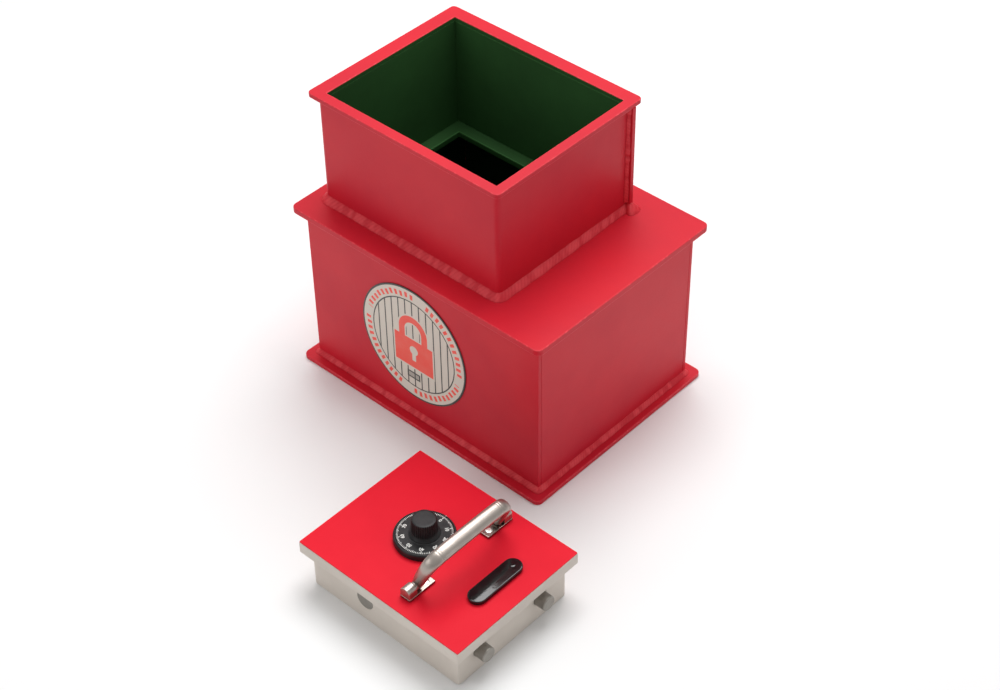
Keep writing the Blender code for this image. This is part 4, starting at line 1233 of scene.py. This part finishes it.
@dataclass
class Dial:
    """The combination dial: a ring round a graduated disc with a fluted knob."""

    ticks: int = 100
    numbers: int = 10
    tick_inner: float = 0.0288
    tick_outer: float = 0.0317
    long_inner: float = 0.0277
    tick_shorter: float = 0.0008
    tick_half: float = 0.00030
    long_half: float = 0.00042
    number_radius: float = 0.0246
    number_height: float = 0.0058
    number_weight: float = 0.00014
    knob_radius: float = 0.0152
    knob_foot: float = 0.0046
    flange: float = 0.0176
    flange_rise: float = 0.0016
    flute_depth: float = 0.0014
    flute_count: int = 36
    flute_runout: float = 0.0030
    print_height: float = 0.00006
    print_sink: float = 0.0001
    ring_play: float = 0.0004
    ring_floor: float = 0.002
    ring_lip: float = 0.006
    index_half: float = 0.0004
    index_ends: tuple[float, float] = (0.0331, 0.0344)

    def centre(self) -> tuple[float, float]:
        """The dial's axis."""
        return middle("combination_dial")[:2]

    def face(self) -> float:
        """Height of the graduated face, level with the ring's top."""
        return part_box("dial_ring")[1].z

    def ring(self, black: bpy.types.Material) -> None:
        """Turn the ring that the dial sits in.

        Args:
            black: the dial's finish.
        """
        low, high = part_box("dial_ring")
        radius, tall = (high.x - low.x) / 2, high.z - low.z
        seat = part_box("combination_dial")[1].x - self.centre()[0] + self.ring_play
        lip = seat - self.ring_lip
        line = [(seat, tall), (seat, self.ring_floor), (lip, self.ring_floor), (lip, 0), (radius, 0),
                (radius - 0.0002, tall - 0.0016), (radius - 0.0014, tall), (seat, tall)]
        profile = softened(line, 0.0007)[:-1]
        Piece("dial_ring_turned", "door", "black_enamel", ("dial_ring",)).build(
            turned(profile, (*self.centre(), low.z), 128, closed=True), black)

    def disc(self, black: bpy.types.Material) -> None:
        """Turn the dial with its flange and its fluted, slightly domed knob.

        Args:
            black: the dial's finish.
        """
        low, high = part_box("combination_dial")
        radius = (high.x - low.x) / 2
        base, top, face = low.z, high.z, self.face()
        foot = face + self.knob_foot
        line = [(0, base), (radius, base), (radius, face), (self.flange, face),
                (self.flange, face + self.flange_rise), (self.knob_radius, foot),
                (self.knob_radius - 0.0008, top - 0.0006), (self.knob_radius - 0.0034, top), (0, top)]
        rows = softened(line, 0.0011, 4)
        climb = np.clip((rows[:, 1] - foot) / self.flute_runout, 0, 1)
        near_top = np.clip((top - 0.0002 - rows[:, 1]) / 0.0008, 0, 1)
        inside = np.clip(rows[:, 0] / self.knob_radius * 3 - 2, 0, 1)
        knurl = self.flute_depth * climb * near_top * inside
        dial = turned(rows, (*self.centre(), 0), 288, knurl, self.flute_count)
        Piece("combination_dial_turned", "dial", "black_enamel", ("combination_dial",)).build(dial, black)

    def tick_marks(self, white: bpy.types.Material) -> None:
        """Lay 100 thin bars round the face, every tenth the longest and every fifth in between.

        Bar k lies along u, the direction at 90 - 3.6 k degrees, and v is square to it.  Its corners are
        r u + h v, for r at its inner and outer end and h at minus and plus half its width.

        Args:
            white: the print's finish.
        """
        number = np.arange(self.ticks)
        angle = np.pi / 2 - number * TURN / self.ticks
        tenth, fifth = number % 10 == 0, number % 5 == 0
        inner = np.where(fifth, self.tick_inner, self.tick_inner + self.tick_shorter)
        inner = np.where(tenth, self.long_inner, inner)
        outer = np.full(self.ticks, self.tick_outer)
        half = np.where(tenth, self.long_half, self.tick_half)
        along = np.stack([np.cos(angle), np.sin(angle)], -1)[:, None]
        side = np.stack([-np.sin(angle), np.cos(angle)], -1)[:, None]
        ring = (np.stack([inner, inner, outer, outer], -1)[..., None] * along
                + np.stack([-half, half, half, -half], -1)[..., None] * side)
        low, high = self.face() - self.print_sink, self.face() + self.print_height
        boxes = np.stack([lifted(ring, low), lifted(ring, high)], 1) + np.array((*self.centre(), 0))
        one = np.vstack(Surface.grid(boxes[0]).faces)
        faces = one[None] + np.arange(self.ticks)[:, None, None] * 8
        surface = Surface(boxes.reshape(-1, 3), [faces.reshape(-1, 4)], np.zeros(self.ticks * 8))
        Piece("dial_tick_marks", "dial", "black_enamel").build(surface, white)

    def numerals(self, white: bpy.types.Material) -> None:
        """Set the numbers 0 to 90 round the face, each with its top outwards."""
        for count in range(self.numbers):
            curve = bpy.data.curves.new("numeral", "FONT")
            curve.body = str(count * self.ticks // self.numbers)
            curve.size = self.number_height
            curve.extrude = (self.print_height + self.print_sink) / 2
            curve.align_x, curve.align_y = "CENTER", "CENTER"
            curve.offset = self.number_weight
            curve.resolution_u = 3
            text = bpy.data.objects.new("numeral", curve)
            bpy.context.scene.collection.objects.link(text)
            bpy.context.view_layer.update()
            depsgraph = bpy.context.evaluated_depsgraph_get()
            shape = bpy.data.meshes.new_from_object(text.evaluated_get(depsgraph))
            bpy.data.objects.remove(text)
            turn = Matrix.Rotation(-TURN * count / self.numbers, 4, "Z")
            out = Matrix.Translation((0, self.number_radius, 0))
            level = self.face() + (self.print_height - self.print_sink) / 2
            place = Matrix.Translation((*self.centre(), level))
            shape.transform(place @ turn @ out)
            name = f"dial_number_{count * self.ticks // self.numbers:02d}"
            Piece(name, "dial", "black_enamel").add(shape, white)

    def index_mark(self, white: bpy.types.Material) -> None:
        """Put the opening mark on the ring, on the side that faces the safe.

        Args:
            white: the print's finish.
        """
        x, y = self.centre()
        start, end = (y + distance for distance in self.index_ends)
        outline = Outline.rounded((x - self.index_half, start), (x + self.index_half, end), 0.0001, 2)
        mark = slab(outline, self.face() - 0.0002, self.face() + self.print_height, 0.00003)
        Piece("dial_index_mark", "door", "black_enamel").build(mark, white)

    def dress(self, black: bpy.types.Material, white: bpy.types.Material) -> None:
        """Build everything.

        Args:
            black: the dial's finish.
            white: the print's finish.
        """
        self.ring(black)
        self.disc(black)
        self.tick_marks(white)
        self.numerals(white)
        self.index_mark(white)


@dataclass
class PullHandle:
    """The bow: an oval bar bent in one plane, leaning on two pivots between its feet."""

    lean: float = math.radians(23.5)
    width: float = 0.0176
    thick: float = 0.0112
    leg: float = 0.0625
    arm: float = 0.050
    boss_radius: float = 0.0053
    bore_radius: float = 0.0028
    screw_play: float = 0.0003
    knuckle: float = 0.013
    knuckle_round: float = 0.0062
    base: float = 0.003
    step: float = 0.0004
    foot_gap: float = 0.0003
    boss_sink: float = 0.0022
    bore_sink: float = 0.0015
    foot_corner: float = 0.0012
    foot_edge: float = 0.0005
    cap_wall: float = 0.0008
    sides: int = 40
    rows: int = 400
    easing: int = 16
    squareness: float = 0.9
    grooves: tuple[float, float] = (0.0470, 0.0445)
    groove_depth: float = 0.045
    groove_width: float = 0.0006

    def pivot(self) -> Vector:
        """The middle of the pivot axis."""
        front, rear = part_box("handle_foot_front"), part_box("handle_foot_rear")
        pin_low, pin_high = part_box("handle_pin_front")
        return Vector(((front[0].x + front[1].x) / 2, (front[0].y + rear[1].y) / 2,
                       (pin_low.z + pin_high.z) / 2))

    def route(self) -> np.ndarray:
        """Half of the bow's middle line: (along the door, away from the pivot, share of the full section)."""
        bend = self.arm - 0.001
        return np.array([(self.leg, 0.0, 0.72), (self.leg, 0.008, 0.79), (self.leg, 0.018, 0.86),
                         (self.leg - 0.0015, 0.036, 0.94),
                         (self.leg - 0.006, bend - 0.0045, 0.98), (self.leg - 0.0135, bend, 1.0),
                         (self.leg - 0.0357, self.arm + 0.0006, 1.0), (0.0, self.arm + 0.0012, 1.0)])

    def bow(self) -> Surface:
        """Sweep the oval along the smoothed route.

        The route is read at even steps of its length and eased by a running mean with a cosine window.
        Point (s, v) is P(s) + size (w/2 cos v across + t/2 sin v N(s)), with N the in-plane normal and the
        sine and cosine raised to a power a little below 1.  Two narrow grooves, dips in the size shaped as
        exp(-x^2), ring the bar at each bend.
        """
        half = self.route()
        whole = np.vstack([half, half[-2::-1] * (-1, 1, 1)])
        run = np.concatenate([[0], np.cumsum(np.linalg.norm(np.diff(whole[:, :2], axis=0), axis=1))])
        at = np.linspace(0, run[-1], self.rows)
        read = np.stack([np.interp(at, run, column) for column in whole.T], -1)
        reach = self.easing
        kernel = np.hanning(2 * reach + 1)
        kernel /= kernel.sum()
        padded = np.vstack([2 * read[:1] - read[reach:0:-1], read,
                            2 * read[-1:] - read[-2:-2 - reach:-1]])
        line = np.stack([np.convolve(column, kernel, "valid") for column in padded.T], -1)
        heading = np.gradient(line[:, :2], axis=0)
        heading /= np.linalg.norm(heading, axis=1, keepdims=True)
        normal = np.stack([-heading[:, 1], heading[:, 0]], -1)
        turn = np.linspace(0, TURN, self.sides, endpoint=False)
        across, rise = (np.sign(wave) * np.abs(wave) ** self.squareness * size / 2
                        for wave, size in ((np.cos(turn), self.width), (np.sin(turn), self.thick)))
        gaps = np.abs(line[:, :1]) - np.array(self.grooves)
        cut = self.groove_depth * np.exp(-(gaps / self.groove_width) ** 2).sum(1, keepdims=True)
        size = line[:, 2:] * (1 - cut)
        points = np.stack([size * across[None], line[:, :1] + size * rise * normal[:, :1],
                           line[:, 1:2] + size * rise * normal[:, 1:]], -1)
        return Surface.grid(points)

    def boss(self, side: int) -> tuple[Surface, Surface]:
        """The boss on one leg's outer face, round the pivot axis, and the bore for its pin.

        Args:
            side: -1 for the front, 1 for the rear.

        Returns:
            The boss and the bore.
        """
        axis = self.pivot()
        inner = self.leg - self.boss_sink
        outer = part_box("handle_foot_rear")[1].y - axis.y - self.knuckle - self.foot_gap
        depth = outer - inner
        rows = softened([(0, 0), (self.boss_radius, 0), (self.boss_radius, depth), (0, depth)], 0.0008)
        stand = (Matrix.Translation(axis + Vector((0, side * inner, 0)))
                 @ Matrix.Rotation(math.radians(-90 * side), 4, "X"))
        pin = bore(axis + Vector((0, side * (inner - self.bore_sink), 0)),
                   axis + Vector((0, side * (outer + 0.001), 0)), self.bore_radius)
        return turned(rows, sides=48).moved(stand), pin

    def dress(self, nickel: bpy.types.Material, painted_dark_nickel: bpy.types.Material, zinc: bpy.types.Material) -> None:
        """Build the bow with its bosses, and the two feet.

        Args:
            nickel: the bow's and knuckles' finish.
            painted_dark_nickel: the strips' nickel, darkened as a painted dark reflection.
            zinc: the screws' finish.
        """
        place = Matrix.Translation(self.pivot()) @ Matrix.Rotation(self.lean, 4, "Y")
        bosses, bores = zip(*(self.boss(side) for side in (-1, 1)))
        Piece("pull_handle_bow", "bow_handle", "nickel", ("pull_handle",)).build(
            self.bow().moved(place), nickel, bosses, bores)
        for name, side in (("front", -1), ("rear", 1)):
            self.foot(name, side, nickel, painted_dark_nickel)
            self.screw(name, zinc)

    def foot(self, name: str, side: int, nickel: bpy.types.Material, painted_dark_nickel: bpy.types.Material) -> None:
        """Build one foot: a strip, and a knuckle block with a round top and a blind hole for the pin.

        Args:
            name: front or rear.
            side: -1 for the front, 1 for the rear.
            nickel: the bow's and knuckles' finish.
            painted_dark_nickel: the strips' nickel, darkened as a painted dark reflection.
        """
        low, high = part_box(f"handle_foot_{name}")
        outer = high.y if side > 0 else low.y
        strip = slab(Outline.rounded(low.xy, high.xy, self.foot_corner), low.z, low.z + self.base,
                     self.foot_edge)
        start, end = sorted((outer - side * self.step, outer - side * (self.knuckle - self.step)))
        half = (high.x - low.x) / 2 - self.step
        x, sunk = (low.x + high.x) / 2, self.base / 3
        outline = Outline.rounded((-half, 0), (half, high.z - low.z - sunk),
                                  (0.0004, 0.0004, self.knuckle_round, self.knuckle_round), 10)
        stand = Matrix.Translation((x, end, low.z + sunk)) @ Matrix.Rotation(math.radians(90), 4, "X")
        block = slab(outline, 0, end - start, 0.0006).moved(stand)
        axis = Vector((x, 0, self.pivot().z))
        pin = bore(axis + Vector((0, outer - side * self.cap_wall, 0)),
                   axis + Vector((0, outer - side * (self.knuckle + 0.002), 0)), self.bore_radius)
        Piece(f"handle_foot_{name}_milled", "door", "nickel", (f"handle_foot_{name}",)).build(
            block, nickel, holes=(pin,))
        Piece(f"handle_foot_{name}_strip", "door", "nickel").build(
            strip, painted_dark_nickel, holes=(upright_bore(f"foot_screw_{name}", self.screw_play),))

    def screw(self, name: str, zinc: bpy.types.Material) -> None:
        """Turn one foot's screw, with a cone below its head and a low dome on it.

        Args:
            name: front or rear.
            zinc: the screws' finish.
        """
        low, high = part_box(f"foot_screw_{name}")
        radius, tall = (high.x - low.x) / 2, high.z - low.z
        rows = softened([(0, 0), (radius * 0.6, 0), (radius, 0.0022), (radius, tall),
                         (radius * 0.5, tall + 0.0004), (0, tall + 0.0004)], 0.0004)
        head = turned(rows, (*middle(f"foot_screw_{name}")[:2], low.z), 64)
        Piece(f"foot_screw_{name}_turned", "door", "zinc_steel", (f"foot_screw_{name}",)).build(head, zinc)


@dataclass
class KeyLock:
    """The glossy cover that swings off the keyhole, and the rivet that it turns on."""

    rounding: float = 0.0011
    rivet_play: float = 0.0004

    def cover(self, gloss: bpy.types.Material) -> None:
        """Build the cover as a strip with half-round ends and softened edges.

        Args:
            gloss: the cover's and rivet's finish.
        """
        low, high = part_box("keyhole_cover")
        radius, x = (high.x - low.x) / 2, middle("keyhole_cover")[0]
        outline = Outline.stadium((x, low.y + radius), (x, high.y - radius), radius, 28)
        Piece("keyhole_cover_pressed", "swing_cover", "black_enamel", ("keyhole_cover",)).build(
            slab(outline, low.z, high.z, self.rounding), gloss,
            holes=(upright_bore("cover_rivet", self.rivet_play),))

    def rivet(self, gloss: bpy.types.Material) -> None:
        """Turn the rivet's low dome.

        Args:
            gloss: the cover's and rivet's finish.
        """
        low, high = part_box("cover_rivet")
        radius, tall = (high.x - low.x) / 2, high.z - low.z
        rows = softened([(0, 0), (radius, 0), (radius, tall), (radius * 1.25, tall + 0.0001),
                         (radius * 1.1, tall + 0.0006), (0, tall + 0.0008)], 0.0005)
        head = turned(rows, (*middle("cover_rivet")[:2], low.z), 48)
        Piece("cover_rivet_turned", "door", "black_enamel", ("cover_rivet",)).build(head, gloss)

    def dress(self, gloss: bpy.types.Material) -> None:
        """Build everything."""
        self.cover(gloss)
        self.rivet(gloss)


@dataclass
class Boltwork:
    """The two fixed bolts, whose round ends stand out of the casing."""

    radius: float = 0.0093
    flange_thick: float = 0.005
    chamfer: float = 0.0010

    def dress(self, steel: bpy.types.Material) -> None:
        """Turn each bolt with its flange and a soft chamfer at the outer end."""
        for name in ("fixed_bolt_1", "fixed_bolt_2"):
            low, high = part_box(name)
            flange, length = (high.z - low.z) / 2, high.x - low.x
            line = [(0, 0), (flange, 0), (flange, self.flange_thick), (self.radius, self.flange_thick),
                    (self.radius, length - self.chamfer), (self.radius - self.chamfer, length), (0, length)]
            stand = (Matrix.Translation((low.x, *middle(name)[1:]))
                     @ Matrix.Rotation(math.radians(90), 4, "Y"))
            bolt = turned(softened(line, 0.0005), sides=64).moved(stand)
            Piece(f"{name}_turned", "door", "bolt_steel", (name,)).build(bolt, steel)


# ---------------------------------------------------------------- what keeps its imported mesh
@dataclass(frozen=True)
class Insides:
    """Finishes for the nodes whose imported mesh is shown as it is."""

    finishes: dict[str, tuple[str, ...]]

    def dress(self, materials: dict[str, bpy.types.Material]) -> None:
        """Give each node its finish."""
        for finish, names in self.finishes.items():
            for name in names:
                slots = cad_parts[name].data.materials
                slots.clear()
                slots.append(materials[finish])
                LOG.info("%s: dressed with %s", name, finish)


# ---------------------------------------------------------------- the studio
@dataclass
class Studio:
    """Camera, pale floor, even world and soft lamps."""

    place: tuple[float, float, float] = (1.28432, -1.37521, 1.70767)
    azimuth: float = math.radians(43.07)
    elevation: float = math.radians(41.65)
    roll: float = math.radians(-0.97)
    lens: float = 73.2
    floor_size: float = 60.0
    white: float = 0.86
    horizon: float = 0.46
    zenith: float = 0.30

    def camera(self) -> None:
        """Aim the camera back along its azimuth and elevation, turned a little about its own axis."""
        data = bpy.data.cameras.new("studio_camera")
        data.lens, data.sensor_width = self.lens, 36.0
        data.clip_start, data.clip_end = 0.01, 200.0
        camera = bpy.data.objects.new("studio_camera", data)
        turn = (Matrix.Rotation(self.azimuth, 4, "Z") @ Matrix.Rotation(math.pi / 2 - self.elevation, 4, "X")
                @ Matrix.Rotation(self.roll, 4, "Z"))
        camera.matrix_world = Matrix.Translation(self.place) @ turn
        bpy.context.scene.collection.objects.link(camera)
        bpy.context.scene.camera = camera

    def floor(self) -> None:
        """Lay a pale sheet under the pieces."""
        half, level = self.floor_size / 2, -0.0002
        mesh = bpy.data.meshes.new("studio_floor")
        corners = [(-half, -half, level), (half, -half, level), (half, half, level), (-half, half, level)]
        mesh.from_pydata(corners, [], [(0, 1, 2, 3)])
        shader = Shader("studio_floor")
        mesh.materials.append(shader.finish(Base_Color=(self.white,) * 3, Roughness=0.75,
                                            Specular_IOR_Level=0.2))
        floor = bpy.data.objects.new("studio_floor", mesh)
        bpy.context.scene.collection.objects.link(floor)

    def lamp(self, name: str, place: Colour, target: Colour, size: float, watts: float) -> None:
        """Hang one square soft lamp, aimed at a point.

        Args:
            name: the lamp's name.
            place: where it hangs.
            target: the point that it lights.
            size: length of its side.
            watts: its power.
        """
        data = bpy.data.lights.new(name, "AREA")
        data.size, data.energy = size, watts
        lamp = bpy.data.objects.new(name, data)
        lamp.location = place
        lamp.rotation_euler = (Vector(target) - Vector(place)).to_track_quat("-Z", "Y").to_euler()
        bpy.context.scene.collection.objects.link(lamp)

    def light(self) -> None:
        """Set a white world, brighter overhead, and three soft lamps: overhead, front left and right."""
        world = bpy.data.worlds.new("studio_world")
        sky = Shader("studio_world", world)
        glow = sky.axis("Z").maths("MAXIMUM", 0.0) * self.zenith + self.horizon
        background = sky.node("Background", None, {"Strength": glow})
        sky.node("OutputWorld", None, {"Surface": background})
        bpy.context.scene.world = world
        self.lamp("overhead_lamp", (-0.3, 0.6, 2.4), (0.0, -0.1, 0.1), 1.6, 52.0)
        self.lamp("front_lamp", (-0.7, -2.4, 1.3), (0.0, -0.1, 0.1), 1.3, 9.0)
        self.lamp("side_lamp", (2.4, 0.5, 0.9), (0.1, 0.0, 0.1), 0.9, 2.0)
        bpy.context.scene.view_settings.view_transform = "Standard"

    def build(self) -> None:
        """Set everything up."""
        self.camera()
        self.floor()
        self.light()


def finishes() -> dict[str, bpy.types.Material]:
    """Make each finish once.

    The red paint changes in two rooms: to dark green in the mouth, deep enough to take in the walls' inner
    faces, and to a near-black green in the cellar inside the box, which takes in the four walls' inner faces;
    there the dark green is deepened by painted shade.
    """
    shell_low, shell_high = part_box("neck_shell")
    deep, top, rim = 0.0050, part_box("top_plate")[0].z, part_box("neck_rim")[1].z
    mouth = Room((shell_low.x + deep, shell_low.y + deep, top - 0.0001),
                 (shell_high.x - deep, shell_high.y + 0.0012, rim - 0.0008))
    skin = 0.0002
    cellar = Room((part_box("left_wall")[1].x - skin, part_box("front_wall")[1].y - skin, 0.0),
                  (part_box("right_wall")[0].x + skin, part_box("rear_wall")[0].y + skin, top + 0.00002))
    red = Paint(colour=(0.62, 0.014, 0.028), shade=(0.52, 0.010, 0.027), rubbed=(0.84, 0.085, 0.105),
                roughness=0.40,
                # the cellar's near-black green is dark green paint darkened further as painted shade
                rooms=((mouth, (0.034, 0.112, 0.030)), (cellar, (0.008, 0.026, 0.010))))
    return {
        "red": red.material("red_paint"),
        # the weld's second colour is the painted highlight on the bead crests
        "weld": WeldPaint((0.60, 0.020, 0.034), (0.80, 0.070, 0.085)).material("red_weld"),
        "facing": Paint((0.76, 0.009, 0.026), (0.70, 0.008, 0.024), (0.82, 0.06, 0.08), roughness=0.46,
                        patch=11.0, peel=0.00009, gloss=0.10).material("red_facing"),
        "grey": Paint((0.66, 0.595, 0.530), (0.58, 0.520, 0.462), (0.80, 0.74, 0.68), roughness=0.42,
                      patch=14.0).material("grey_paint"),
        "bolt": Metal((0.30, 0.28, 0.25), (0.20, 0.18, 0.16), 0.40, 0.6).material("bolt_steel"),
        "nickel": Metal((0.46, 0.41, 0.37), (0.33, 0.29, 0.26), 0.38, grain=Grain.ALONG_Y).material("nickel"),
        # the strips' nickel, darkened to stand for the dark reflections they show: a painted reflection
        "painted_dark_nickel": Metal((0.30, 0.26, 0.235), (0.20, 0.17, 0.15), 0.22).material("painted_dark_nickel_strip"),
        "zinc": Metal((0.60, 0.59, 0.56), (0.42, 0.41, 0.38), 0.30).material("zinc_steel"),
        "brass": Metal((0.62, 0.44, 0.18), (0.42, 0.28, 0.11), 0.28).material("brass"),
        "dial": Enamel((0.010, 0.010, 0.011), (0.05, 0.05, 0.05), 0.34, 0.12, 0.22).material("dial_black"),
        "gloss": Enamel((0.006, 0.006, 0.007), (0.020, 0.020, 0.020), 0.06, 0.04).material("cover_black"),
        "white": Enamel((0.86, 0.86, 0.82), (0.70, 0.70, 0.66), 0.5, 0.1, 0.1).material("dial_white"),
    }


def main() -> None:
    """Build the studio and each sub-assembly in order."""
    logging.basicConfig(level=logging.INFO, format="%(name)s: %(message)s")
    paint = finishes()
    Studio().build()
    LowerBox().dress(paint["red"], paint["weld"])
    Neck().dress(paint["red"], paint["weld"])
    Label().dress()
    DoorSlab().dress(paint["grey"], paint["facing"])
    Dial().dress(paint["dial"], paint["white"])
    PullHandle().dress(paint["nickel"], paint["painted_dark_nickel"], paint["zinc"])
    KeyLock().dress(paint["gloss"])
    Boltwork().dress(paint["bolt"])
    Insides({
        "grey": ("door_casing",),
        "gloss": ("keyhole_plate",),
        "bolt": ("left_bolt_1", "left_bolt_2", "front_bolt", "rear_bolt"),
        "brass": ("wheel_1", "wheel_2", "wheel_3", "wheel_post", "lock_bolt", "key_plug"),
        "zinc": ("bolt_carriage", "drive_cam", "fence_lever", "lever_pivot", "guide_stud_1", "guide_stud_2",
                 "guide_stud_3", "guide_stud_4", "handle_pin_front", "handle_pin_rear", "key_lock_case",
                 "key_pinion", "lock_case", "lock_cover", "dial_spindle", "cover_screw_1", "cover_screw_2",
                 "cover_screw_3", "cover_screw_4"),
    }).dress(paint)


if __name__ == "__main__":
    main()
